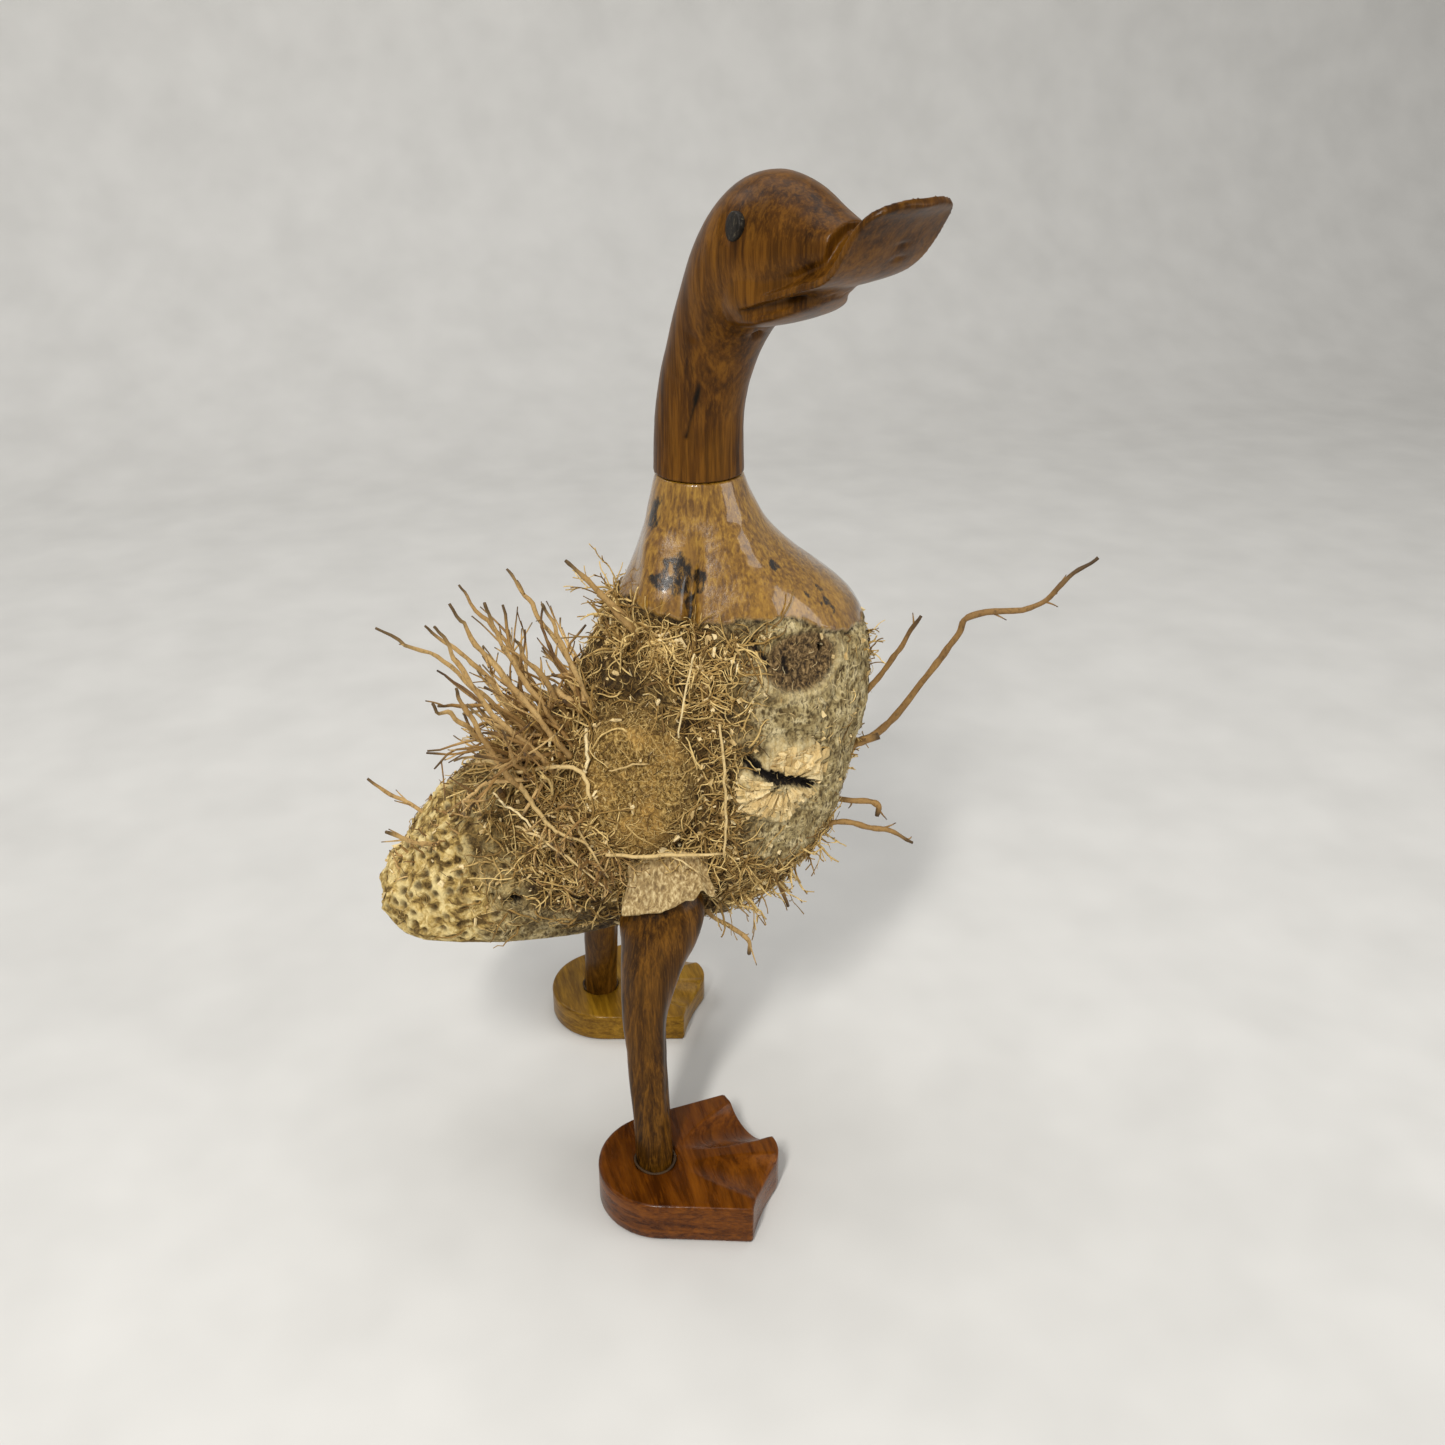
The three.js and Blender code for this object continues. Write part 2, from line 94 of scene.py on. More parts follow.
lamp("key", (-0.62, -1.0, 1.3), (0.13, 0.5), 18, (1.0, 0.975, 0.93))
lamp("fill", (1.2, -0.75, 0.8), (0.9, 0.9), 6, (1.0, 0.99, 0.97))
lamp("top", (0.1, 0.25, 1.5), (1.0, 1.0), 5, (1, 1, 1))
lamp("rim", (-0.9, 0.8, 1.6), (0.8, 0.8), 5, (1, 1, 1))
world = bpy.data.worlds.new("studio")
world.use_nodes = True
sky = world.node_tree.nodes["Background"].inputs
sky["Color"].default_value = (1.0, 0.985, 0.96, 1)
sky["Strength"].default_value = 0.4
bpy.context.scene.world = world
bpy.context.scene.view_settings.view_transform = "Standard"


# ---------------------------------------------------------------- noise in numpy
def _hash(ix, iy, iz, seed):
    h = (ix * 374761393 + iy * 668265263 + iz * 2147483647 + seed * 974711) & 0xFFFFFFFF
    h = ((h ^ (h >> 13)) * 1274126177) & 0xFFFFFFFF
    h = ((h ^ (h >> 16)) * 2246822519) & 0xFFFFFFFF
    return ((h ^ (h >> 15)) & 0xFFFFFF) / float(0xFFFFFF) * 2 - 1


def noise(p, scale, seed=0):
    q = np.asarray(p, float) / scale
    i = np.floor(q).astype(np.int64)
    f = q - i
    u = f * f * f * (f * (f * 6 - 15) + 10)
    out = 0
    for dx in (0, 1):
        for dy in (0, 1):
            for dz in (0, 1):
                w = ((u[:, 0] if dx else 1 - u[:, 0]) * (u[:, 1] if dy else 1 - u[:, 1])
                     * (u[:, 2] if dz else 1 - u[:, 2]))
                out = out + w * _hash(i[:, 0] + dx, i[:, 1] + dy, i[:, 2] + dz, seed)
    return out


def fbm(p, scale, octaves=3, seed=0):
    out, amp = 0, 1.0
    for k in range(octaves):
        out = out + amp * noise(p, scale / 2 ** k, seed + 17 * k)
        amp *= 0.5
    return out


def step(x, a, b):
    t = np.clip((x - a) / (b - a), 0, 1)
    return t * t * (3 - 2 * t)


def bell(x, width):
    return np.exp(-((x / width) ** 2))


def egg(p, centre, size):
    """Distance of each p from centre, as a share of an ellipsoid's half sizes."""
    return np.linalg.norm((p - centre) / np.array(size), axis=1)


def unit(v):
    return v / np.linalg.norm(v)


def near_line(p, pts):
    """Distance from each p to a polyline."""
    best = np.full(len(p), 1e9)
    pts = np.asarray(pts, float)
    for a, b in zip(pts[:-1], pts[1:]):
        d = b - a
        t = np.clip((p - a) @ d / (d @ d), 0, 1)
        best = np.minimum(best, np.linalg.norm(p - a - t[:, None] * d, axis=1))
    return best


# ---------------------------------------------------------------- mesh tools
def smooth_rows(rows, per):
    rows = np.asarray(rows, float)
    n = len(rows)
    out = []
    for i in range(n - 1):
        a, b, c, d = rows[max(i - 1, 0)], rows[i], rows[i + 1], rows[min(i + 2, n - 1)]
        for s in range(per):
            t = s / per
            out.append((2 * t**3 - 3 * t**2 + 1) * b + (t**3 - 2 * t**2 + t) * (c - a) / 2
                       + (3 * t**2 - 2 * t**3) * c + (t**3 - t**2) * (d - b) / 2)
    out.append(rows[-1])
    return np.array(out)


def skin(rings):
    """Vertices and faces of a closed skin over rings, with a fan at each end."""
    rings = np.asarray(rings, float)
    m, n, _ = rings.shape
    v = rings.reshape(-1, 3)
    i = np.arange(m - 1)[:, None] * n
    j = np.arange(n)[None, :]
    k = (j + 1) % n
    quads = np.stack([i + j, i + k, i + k + n, i + j + n], -1).reshape(-1, 4)
    v = np.vstack([v, rings[0].mean(0), rings[-1].mean(0)])
    faces = [tuple(q) for q in quads.tolist()]
    for a in range(n):
        b = (a + 1) % n
        faces.append((m * n, b, a))
        faces.append((m * n + 1, (m - 1) * n + a, (m - 1) * n + b))
    return v, faces


def oval(c, u, v, a, b, n, power=2.0):
    w = np.linspace(0, 2 * np.pi, n, endpoint=False)
    cs, sn = np.cos(w), np.sin(w)
    e = 2 / power
    x = a * np.sign(cs) * np.abs(cs) ** e
    y = b * np.sign(sn) * np.abs(sn) ** e
    return np.asarray(c, float) + x[:, None] * np.asarray(u, float) \
        + y[:, None] * np.asarray(v, float)


def new_object(name, v, faces, material=None, shade=True):
    me = bpy.data.meshes.new(name)
    me.from_pydata(place(v).tolist(), [], faces)
    me.validate()
    if shade:
        me.polygons.foreach_set("use_smooth", [True] * len(me.polygons))
    o = bpy.data.objects.new(name, me)
    bpy.context.scene.collection.objects.link(o)
    if material:
        me.materials.append(material)
    return o


def finished(o, nodes=()):
    if nodes:
        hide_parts(*nodes)
    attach(o, "root")
    return o


def fused(name, shells, voxel, smoothing=6):
    """One skin round overlapping closed shells: voxel remesh, then smoothed."""
    v, f, base = [], [], 0
    for a, b in shells:
        v.append(a)
        f += [tuple(i + base for i in q) for q in b]
        base += len(a)
    o = new_object(name + "_raw", np.vstack(v), f)
    m = o.modifiers.new("remesh", "REMESH")
    m.mode = "VOXEL"
    m.voxel_size = voxel * 0.001
    m.use_smooth_shade = True
    s = o.modifiers.new("smooth", "SMOOTH")
    s.factor = 0.5
    s.iterations = smoothing
    dg = bpy.context.evaluated_depsgraph_get()
    me = bpy.data.meshes.new_from_object(o.evaluated_get(dg))
    bpy.data.objects.remove(o)
    me.name = name
    out = bpy.data.objects.new(name, me)
    bpy.context.scene.collection.objects.link(out)
    return out


def points_of(o):
    co = np.empty(len(o.data.vertices) * 3)
    o.data.vertices.foreach_get("co", co)
    return co.reshape(-1, 3) * 1000 - SHIFT


def normals_of(o):
    n = np.empty(len(o.data.vertices) * 3)
    o.data.vertices.foreach_get("normal", n)
    return n.reshape(-1, 3)


def set_points(o, p):
    o.data.vertices.foreach_set("co", place(p).ravel())
    o.data.update()


def attribute(o, name, values):
    a = o.data.attributes.new(name, "FLOAT", "POINT")
    a.data.foreach_set("value", np.asarray(values, np.float32))


def tubes(name, paths, material, sides=4, seed=1, tone=None):
    """Many tapered strands in one mesh: paths is a list of (points, radii)."""
    verts, faces, tint, tip, base = [], [], [], [], 0
    r = np.random.default_rng(seed)
    for pts, rad in paths:
        pts, rad = np.asarray(pts, float), np.asarray(rad, float)
        m = len(pts)
        d = np.gradient(pts, axis=0)
        d /= np.linalg.norm(d, axis=1)[:, None] + 1e-9
        u = np.array([0.3, 0.5, 0.8])
        us = []
        for k in range(m):
            u = u - d[k] * (u @ d[k])
            u = u / (np.linalg.norm(u) + 1e-9)
            us.append(u)
        us = np.array(us)
        vs = np.cross(d, us)
        w = np.linspace(0, 2 * np.pi, sides, endpoint=False) + r.random() * 6
        ring = (pts[:, None, :] + rad[:, None, None] * (np.cos(w)[None, :, None] * us[:, None, :]
                + np.sin(w)[None, :, None] * vs[:, None, :]))
        verts.append(ring.reshape(-1, 3))
        i = np.arange(m - 1)[:, None] * sides
        j = np.arange(sides)[None, :]
        k = (j + 1) % sides
        q = (np.stack([i + j, i + k, i + k + sides, i + j + sides], -1).reshape(-1, 4) + base)
        faces += [tuple(x) for x in q.tolist()]
        faces.append(tuple(range(base + sides - 1, base - 1, -1)))
        faces.append(tuple(range(base + (m - 1) * sides, base + m * sides)))
        shade = r.random() if tone is None else tone + 0.2 * (r.random() - 0.5)
        tint.append(np.full(m * sides, shade))
        tip.append(np.repeat(np.linspace(0, 1, m), sides))
        base += m * sides
    o = new_object(name, np.vstack(verts), faces, material)
    attribute(o, "tint", np.concatenate(tint))
    attribute(o, "tip", np.concatenate(tip))
    return o


# ---------------------------------------------------------------- materials
def srgb(r, g, b):
    return tuple(((c / 255 + 0.055) / 1.055) ** 2.4 if c > 10 else c / 255 / 12.92
                 for c in (r, g, b)) + (1.0,)


class Mat:
    """A small builder for node materials on object coordinates."""

    def __init__(self, name, roughness=0.5, coat=0.0, coat_rough=0.1, spec=0.4):
        self.m = bpy.data.materials.new(name)
        self.m.use_nodes = True
        self.t = self.m.node_tree
        self.b = self.t.nodes["Principled BSDF"]
        for key, value in (("Roughness", roughness), ("Coat Weight", coat),
                           ("Coat Roughness", coat_rough), ("Specular IOR Level", spec)):
            self.b.inputs[key].default_value = value
        self.coords = self.t.nodes.new("ShaderNodeTexCoord").outputs["Object"]
        self.normal = None

    def node(self, kind, inputs, **settings):
        """A node with its settings, and each input either linked or set."""
        n = self.t.nodes.new(kind)
        for key, value in settings.items():
            setattr(n, key, value)
        for key, value in inputs.items():
            if isinstance(value, bpy.types.NodeSocket):
                self.t.links.new(value, n.inputs[key])
            else:
                n.inputs[key].default_value = value
        return n

    def scaled(self, x, y, z, turn=(0, 0, 0)):
        """Object coordinates in units of x, y and z millimetres, turned by degrees."""
        return self.node("ShaderNodeMapping", {
            "Vector": self.coords, "Rotation": [math.radians(a) for a in turn],
            "Scale": (1000 / x, 1000 / y, 1000 / z)}).outputs["Vector"]

    def noise(self, vector, detail=3.0, rough=0.55, distortion=0.0):
        return self.node("ShaderNodeTexNoise", {
            "Vector": vector, "Scale": 1.0, "Detail": detail, "Roughness": rough,
            "Distortion": distortion}).outputs["Fac"]

    def cells(self, vector):
        return self.node("ShaderNodeTexVoronoi", {
            "Vector": vector, "Scale": 1.0}).outputs["Distance"]

    def band(self, value, a, b):
        """0 where value is a and 1 where it is b, with a soft step between."""
        return self.node("ShaderNodeMapRange", {
            "Value": value, "From Min": a, "From Max": b},
            interpolation_type="SMOOTHSTEP").outputs["Result"]

    def math(self, op, a, b=0.0):
        return self.node("ShaderNodeMath", {0: a, 1: b}, operation=op).outputs[0]

    def ramp(self, value, stops):
        n = self.t.nodes.new("ShaderNodeValToRGB")
        e = n.color_ramp.elements
        while len(e) < len(stops):
            e.new(0.5)
        for x, (at, c) in zip(e, stops):
            x.position = at
            x.color = srgb(*c)
        self.t.links.new(value, n.inputs["Fac"])
        return n.outputs["Color"]

    def mix(self, share, a, b):
        return self.node("ShaderNodeMix", {0: share, 6: a, 7: b}, data_type="RGBA").outputs[2]

    def stain(self, base, mask, share, rgb):
        """Lays a colour over base where mask is 1, as far as share."""
        return self.mix(self.math("MULTIPLY", mask, share), base, srgb(*rgb))

    def mask(self, name):
        return self.node("ShaderNodeAttribute", {}, attribute_name=name).outputs["Fac"]

    def colour(self, socket):
        self.t.links.new(socket, self.b.inputs["Base Color"])

    def rough(self, value, low, high):
        n = self.node("ShaderNodeMapRange", {"Value": value, "To Min": low, "To Max": high})
        self.t.links.new(n.outputs["Result"], self.b.inputs["Roughness"])

    def bump(self, value, mm, strength=1.0):
        """Lays one more bump over those before it."""
        inputs = {"Distance": mm * 0.001, "Strength": strength, "Height": value}
        if self.normal is not None:
            inputs["Normal"] = self.normal
        self.normal = self.node("ShaderNodeBump", inputs).outputs["Normal"]
        self.t.links.new(self.normal, self.b.inputs["Normal"])


def teak(name, dark, mid_, light, grain=(3.2, 3.2, 60), turn=(0, 0, 0), rough=(0.28, 0.42),
         coat=0.35, spec=0.26):
    m = Mat(name, coat=coat, coat_rough=0.18, spec=spec)
    v = m.scaled(*grain, turn=turn)
    streak = m.noise(v, 5, 0.6, 0.6)
    broad = m.noise(m.scaled(grain[0] * 6, grain[1] * 6, grain[2] * 1.4, turn=turn), 2, 0.5, 0.8)
    fleck = m.noise(m.scaled(grain[0] * 0.28, grain[1] * 0.28, grain[2] * 0.3, turn=turn), 2, 0.6)
    base = m.ramp(streak, [(0.37, dark), (0.5, mid_), (0.63, light)])
    tone = m.ramp(broad, [(0.34, dark), (0.5, mid_), (0.64, light)])
    base = m.mix(0.42, base, tone)
    pores = m.band(fleck, 0.54, 0.66)
    base = m.stain(base, pores, 0.32, [c * 0.6 for c in dark])
    base = m.stain(base, m.band(fleck, 0.46, 0.36), 0.2, [c * 1.18 for c in light])
    # where a mesh carries the dark mask the colour falls towards near black; on the head this is
    # painted shade in the mouth line and the drying check
    base = m.mix(m.mask("dark"), base, srgb(*[c * 0.3 for c in dark]))
    m.colour(base)
    m.rough(streak, *rough)
    m.bump(fleck, 0.12, 0.35)
    m.bump(broad, 0.3, 0.15)
    return m.m


M_HEAD = teak("teak_head", (44, 24, 4), (82, 49, 10), (116, 75, 20), (3.4, 3.4, 66),
              turn=(0, 16, 0), rough=(0.26, 0.4), coat=0.04, spec=0.1)
M_LEG = teak("teak_leg", (32, 17, 2), (70, 42, 6), (116, 76, 20), (2.2, 2.2, 95),
             rough=(0.26, 0.4), coat=0.06, spec=0.12)
M_FOOT_R = teak("red_foot", (56, 24, 1), (94, 48, 4), (122, 68, 9), (6, 46, 2.2),
                turn=(8, 0, 62), rough=(0.22, 0.34), coat=0.16, spec=0.12)
M_FOOT_L = teak("pale_foot", (92, 62, 8), (128, 91, 18), (152, 114, 30), (6, 46, 2.6),
                turn=(5, 0, 70), rough=(0.24, 0.36), coat=0.16, spec=0.12)
M_PEG = teak("plain_dowel", (160, 126, 82), (186, 152, 104), (200, 170, 124), (2, 2, 40),
             rough=(0.6, 0.75), coat=0.0)


def eye_material():
    m = Mat("eye_plug", 0.5, coat=0.05, coat_rough=0.2, spec=0.2)
    n = m.noise(m.scaled(1.4, 1.4, 2.2), 4, 0.7, 0.5)
    m.colour(m.ramp(n, [(0.4, (15, 11, 7)), (0.6, (32, 26, 18)), (0.74, (112, 104, 84))]))
    m.rough(n, 0.4, 0.65)
    m.bump(n, 0.3, 0.7)
    return m.m


def steel_material():
    m = Mat("screw_steel", 0.35)
    m.b.inputs["Metallic"].default_value = 1.0
    n = m.noise(m.scaled(1, 1, 6), 3, 0.6)
    m.colour(m.ramp(n, [(0.3, (120, 120, 118)), (0.7, (176, 176, 172))]))
    m.rough(n, 0.3, 0.5)
    m.bump(n, 0.05, 0.3)
    return m.m


def fibre_material(name, dark, mid_, light, burnt=0.0):
    m = Mat(name, 0.72)
    n = m.noise(m.scaled(9, 9, 9), 3, 0.6)
    fine = m.noise(m.scaled(1.2, 1.2, 2.4), 3, 0.7)
    both = m.math("ADD", m.math("MULTIPLY", m.mask("tint"), 0.55),
                  m.math("MULTIPLY", n, 0.45))
    c = m.ramp(both, [(0.15, dark), (0.45, mid_), (0.75, light)])
    c = m.stain(c, m.band(fine, 0.5, 0.7), 0.5, [x * 0.6 for x in dark])
    if burnt:
        c = m.stain(c, m.band(m.mask("tip"), 0.8, 0.97), burnt, (44, 30, 16))
    m.colour(c)
    m.rough(fine, 0.6, 0.85)
    m.bump(fine, 0.2, 0.5)
    return m.m


M_HAIR = fibre_material("root_hair", (92, 64, 26), (164, 130, 68), (232, 202, 134))
M_HAIR_DARK = fibre_material("root_hair_dark", (44, 28, 10), (92, 64, 26), (146, 112, 56))
M_ROOT = fibre_material("rootlet_bark", (96, 66, 32), (160, 124, 70), (214, 180, 120), 0.8)
M_STRAW = fibre_material("pale_straw", (172, 142, 86), (218, 190, 132), (246, 226, 176))


def rhizome_material():
    m = Mat("rhizome", 0.6, coat_rough=0.06, spec=0.3)
    polish, tail, grey = m.mask("polish"), m.mask("tail"), m.mask("grey")
    dark, pale, felt, red = m.mask("dark"), m.mask("pale"), m.mask("felt"), m.mask("red")
    # polished shoulders: honey brown with fine upright fibre and small dots
    up = m.noise(m.scaled(1.6, 1.6, 16), 4, 0.65, 0.3)
    blot = m.noise(m.scaled(22, 22, 30), 4, 0.6, 1.2)
    dots = m.cells(m.scaled(2.6, 2.6, 3.6))
    hon = m.ramp(up, [(0.36, (94, 62, 17)), (0.5, (130, 92, 28)), (0.64, (158, 119, 42))])
    hon = m.stain(hon, m.band(blot, 0.5, 0.68), 0.6, (98, 62, 22))
    gold = m.noise(m.scaled(30, 30, 34), 2, 0.5, 0.5)
    hon = m.stain(hon, m.band(gold, 0.5, 0.68), 0.4, (188, 142, 60))
    hon = m.stain(hon, m.band(dots, 0.3, 0.12), 0.45, (78, 48, 16))
    # rough ground between the root hair
    r1 = m.noise(m.scaled(7, 7, 7), 5, 0.65, 0.8)
    r2 = m.noise(m.scaled(1.3, 1.3, 1.8), 4, 0.7, 0.5)
    raw = m.ramp(r1, [(0.36, (58, 42, 18)), (0.5, (108, 84, 42)), (0.64, (170, 140, 82))])
    raw = m.stain(raw, m.band(r2, 0.46, 0.58), 0.85, (46, 31, 11))
    gry = m.ramp(r1, [(0.36, (124, 104, 64)), (0.49, (184, 164, 114)), (0.62, (228, 210, 162))])
    dash = m.cells(m.scaled(2.2, 2.2, 3.6))
    gry = m.stain(gry, m.band(dash, 0.42, 0.18), 0.85, (82, 64, 34))
    gry = m.stain(gry, m.band(r2, 0.48, 0.62), 0.7, (72, 58, 34))
    raw = m.mix(grey, raw, gry)
    # pale, pitted tail
    t1 = m.noise(m.scaled(7, 6, 6), 5, 0.65, 0.6)
    cream = m.ramp(t1, [(0.38, (112, 88, 46)), (0.47, (202, 170, 98)), (0.58, (250, 226, 160))])
    cream = m.stain(cream, m.band(r2, 0.56, 0.72), 0.4, (128, 100, 58))
    raw = m.mix(tail, raw, cream)
    warm = m.band(m.noise(m.scaled(24, 24, 30), 3, 0.6, 0.6), 0.46, 0.62)
    fuzz = m.ramp(r2, [(0.36, (216, 184, 116)), (0.48, (168, 134, 70)), (0.58, (88, 64, 24))])
    fuzz = m.stain(fuzz, warm, 0.5, (210, 164, 86))
    raw = m.mix(felt, raw, fuzz)
    rust = m.ramp(r2, [(0.36, (168, 140, 96)), (0.48, (112, 88, 54)), (0.6, (46, 34, 20))])
    raw = m.mix(red, raw, rust)
    light = m.ramp(m.noise(m.scaled(2, 2, 9), 4, 0.6), [(0.35, (200, 172, 112)),
                                                        (0.65, (246, 228, 178))])
    raw = m.mix(pale, raw, light)
    crater = m.ramp(r2, [(0.38, (132, 106, 62)), (0.48, (92, 70, 36)), (0.58, (46, 33, 14))])
    raw = m.mix(m.math("MULTIPLY", m.mask("pit"), 0.9), raw, crater)
    c = m.mix(polish, raw, hon)
    # the dark mask turns the colour near black in ragged patches: real blots, and painted shade in
    # hollows, cracks, creases and on the underside
    ragged = m.math("ADD", dark, m.math("MULTIPLY", m.math("SUBTRACT", m.noise(
        m.scaled(1.5, 1.5, 4.4), 4, 0.7, 0.6), 0.5), m.math("MULTIPLY", dark, 2.6)))
    c = m.mix(m.band(ragged, 0.2, 0.8), c, srgb(24, 16, 8))
    m.colour(c)
    m.rough(polish, 0.86, 0.3)
    m.t.links.new(polish, m.b.inputs["Coat Weight"])
    keep = m.math("SUBTRACT", 1.0, m.math("MULTIPLY", polish, 0.93))
    m.bump(m.math("MULTIPLY", m.math("SUBTRACT", 1.0, r2), keep), 1.8, 0.9)
    m.bump(m.math("MULTIPLY", r1, keep), 2.0, 0.5)
    m.bump(up, 0.2, 0.35)
    return m.m


def sheath_material():
    m = Mat("sheath", 0.74)
    v = m.noise(m.scaled(1.3, 1.3, 22, turn=(0, 12, 0)), 4, 0.6, 0.3)
    n = m.noise(m.scaled(9, 9, 9), 3, 0.6)
    c = m.ramp(v, [(0.34, (112, 88, 50)), (0.5, (164, 138, 90)), (0.64, (212, 190, 142))])
    c = m.stain(c, m.band(n, 0.55, 0.75), 0.6, (128, 104, 66))
    m.colour(c)
    m.rough(v, 0.6, 0.85)
    m.bump(v, 0.5, 0.6)
    return m.m


M_BODY = rhizome_material()
M_SHEATH = sheath_material()
M_EYE = eye_material()
M_STEEL = steel_material()

# ---------------------------------------------------------------- floor
def floor():
    m = Mat("pale_floor", 0.7)
    n = m.noise(m.scaled(60, 60, 60), 2, 0.5)
    m.colour(m.ramp(n, [(0.3, (206, 205, 202)), (0.7, (214, 213, 210))]))
    # one sheet that runs back and curves up, so that no edge shows
    ys = [(-2.2, 0.0), (1.0, 0.0)] + [
        (1.0 + 0.5 * math.sin(a), 0.5 - 0.5 * math.cos(a))
        for a in np.linspace(0, math.pi / 2, 17)[1:]] + [(1.5, 3.2)]
    v, f = [], []
    for y, z in ys:
        v += [(-3.0, y, z), (3.2, y, z)]
    for i in range(len(ys) - 1):
        f.append((2 * i, 2 * i + 1, 2 * i + 3, 2 * i + 2))
    me = bpy.data.meshes.new("floor")
    me.from_pydata(v, [], f)
    me.polygons.foreach_set("use_smooth", [True] * len(me.polygons))
    o = bpy.data.objects.new("floor", me)
    o.location = (0, 0, -0.0003)
    me.materials.append(m.m)
    bpy.context.scene.collection.objects.link(o)


floor()

# ---------------------------------------------------------------- head and neck
TURN = math.radians(-64.5)
HX = np.array([math.cos(TURN), math.sin(TURN), 0])  # the way the bill points
HY = np.array([-math.sin(TURN), math.cos(TURN), 0])  # the head's own left
HZ = np.array([0, 0, 1.0])
GLUE = 0.3  # the glue line under the neck
H0 = np.array([NECK_X, 0, GLUE])


def from_head(q):
    q = np.asarray(q, float)
    return H0 + q[..., :1] * HX + q[..., 1:2] * HY + q[..., 2:3] * HZ


def eye_axis(s):
    a, e = math.radians(13), math.radians(9)
    n = np.array([-math.sin(a), s * math.cos(a), math.sin(e)])
    return np.array([44.5, s * 20.9, 406.8]), unit(n)


def head():
    # neck and back of the head: outer (back) point, inner (front) point, half width
    rows = [
        [-17.9, 308, 17.7, 308, 17.9], [-17.5, 320, 17.5, 320, 17.5],
        [-16.4, 332, 17.9, 331, 17.2], [-13.7, 345, 20.6, 342, 17.1],
        [-9.7, 356, 24.2, 351, 17.3], [-5.4, 366.8, 28, 358, 17.9],
        [-0.5, 377.4, 31.5, 363, 18.7], [4.8, 387.6, 35, 367, 19.8],
        [10.5, 397.8, 38, 370, 20.9], [16.7, 407, 41, 372, 21.5],
        [24.3, 415.2, 44.5, 373.5, 22], [33.3, 421.2, 48.5, 374.6, 22],
        [43, 423.4, 53, 376.2, 21.4], [52.5, 422.3, 57.5, 378, 20],
        [60.5, 419.4, 62, 382.4, 18.0], [67.5, 415.8, 66.5, 386, 16.0],
        [74.5, 412.6, 72, 390, 14.0], [81, 410.5, 78, 393, 11.0],
    ]
    rings = []
    for bt, bz, ft, fz, w in smooth_rows(rows, 4):
        c = np.array([(bt + ft) / 2, 0, (bz + fz) / 2])
        u = np.array([ft - bt, 0, fz - bz])
        half = np.linalg.norm(u) / 2
        rings.append(oval(c, unit(u), (0, 1, 0), half, w, 72, 2.05))
    neck = skin(from_head(rings))
    # face: going forward: t, low z, widest z, top z, half width
    rows = [
        [22, 384, 392, 398, 6], [25, 375, 391, 404, 12], [29, 370.4, 390, 409, 15.6],
        [34, 369.8, 389, 413, 18.2], [41, 371, 388.6, 417, 20.0], [49, 372.6, 388, 417, 19.8],
        [56, 374.8, 388, 415, 18.0], [62, 377.6, 388.6, 412, 15.4],
        [68, 381, 390, 410, 12.6], [74, 385, 392.6, 409, 10], [79, 389, 396, 408, 7],
    ]
    rings = []
    w_ = np.linspace(0, 2 * np.pi, 80, endpoint=False)
    for t, zl, zm, zt, w in smooth_rows(rows, 4):
        cs, sn = np.cos(w_), np.sin(w_)
        e = np.where(sn > 0, 2 / 2.15, 2 / 2.9)
        y = w * np.sign(cs) * np.abs(cs) ** e
        z = zm + np.where(sn > 0, zt - zm, zm - zl) * np.sign(sn) * np.abs(sn) ** e
        rings.append(np.stack([np.full_like(y, t), y, z], -1))
    face = skin(from_head(rings))
    # upper bill: t, sole z, tilt, half width, ridge height
    rows = [
        [44, 379.2, 4, 17.6, 10], [50, 380.4, 6, 18.9, 18], [58, 382.8, 9, 18.8, 24],
        [66, 385.4, 12, 18.2, 25], [74, 388.2, 14, 17.9, 22.6], [82, 390.7, 20, 18.1, 19],
        [89, 394, 32, 19, 15.5],
        [94.5, 398.6, 46, 20.2, 11], [98.8, 404, 54, 20.9, 7.4], [102.6, 409.4, 54, 20.7, 4.8],
        [106.8, 414.2, 46, 19.0, 3.4], [110.4, 416.8, 38, 15, 3], [112.6, 418.2, 34, 9, 2.6],
        [113.3, 418.7, 34, 4, 2.2],
    ]
    edge = 2.8
    rings = []
    for t, z, tilt, w, high in smooth_rows(rows, 4):
        a = math.radians(tilt)
        up = np.array([-math.sin(a), 0, math.cos(a)])
        q = np.linspace(-1, 1, 41)
        low = np.array([t, 0, z]) + q[:, None] * w * np.array([0, 1.0, 0]) \
            + (1.1 * q**2 - 0.5)[:, None] * up
        bump = np.maximum((high - edge) * bell(q, 0.5) * (1 - q**6), 0)
        top = np.array([t, 0, z]) + q[:, None] * w * 0.975 * np.array([0, 1.0, 0]) \
            + (edge * 0.9 + bump + 0.5 * q**2)[:, None] * up
        rings.append(np.vstack([low, top[::-1]]))
    bill = skin(from_head(rings))
    # lower bill
    rows = [
        [34, 369.8, 380, 14.4], [42, 371, 380, 16.6], [50, 372.6, 379.4, 17.6],
        [57, 375, 380.6, 17.0], [63, 377.6, 382.6, 14.8], [68, 380.2, 384.6, 11.4],
        [72, 382.8, 386.2, 7.4], [74.6, 384.8, 387, 3],
    ]
    rings = [oval((t, 0, (a + b) / 2), (0, 1, 0), (0, 0, 1), w, (b - a) / 2, 56, 2.5)
             for t, a, b, w in smooth_rows(rows, 4)]
    jaw = skin(from_head(rings))
    o = fused("head_carving", [neck, face, bill, jaw], 0.6, 4)
    p, n = points_of(o), normals_of(o)
    q = np.stack([(p - H0) @ HX, (p - H0) @ HY, p[:, 2] - GLUE], -1)
    d = 0.10 * noise(q, 9, 3) + 0.05 * noise(q, 3.5, 5)
    gap = np.full(len(q), 9.0)
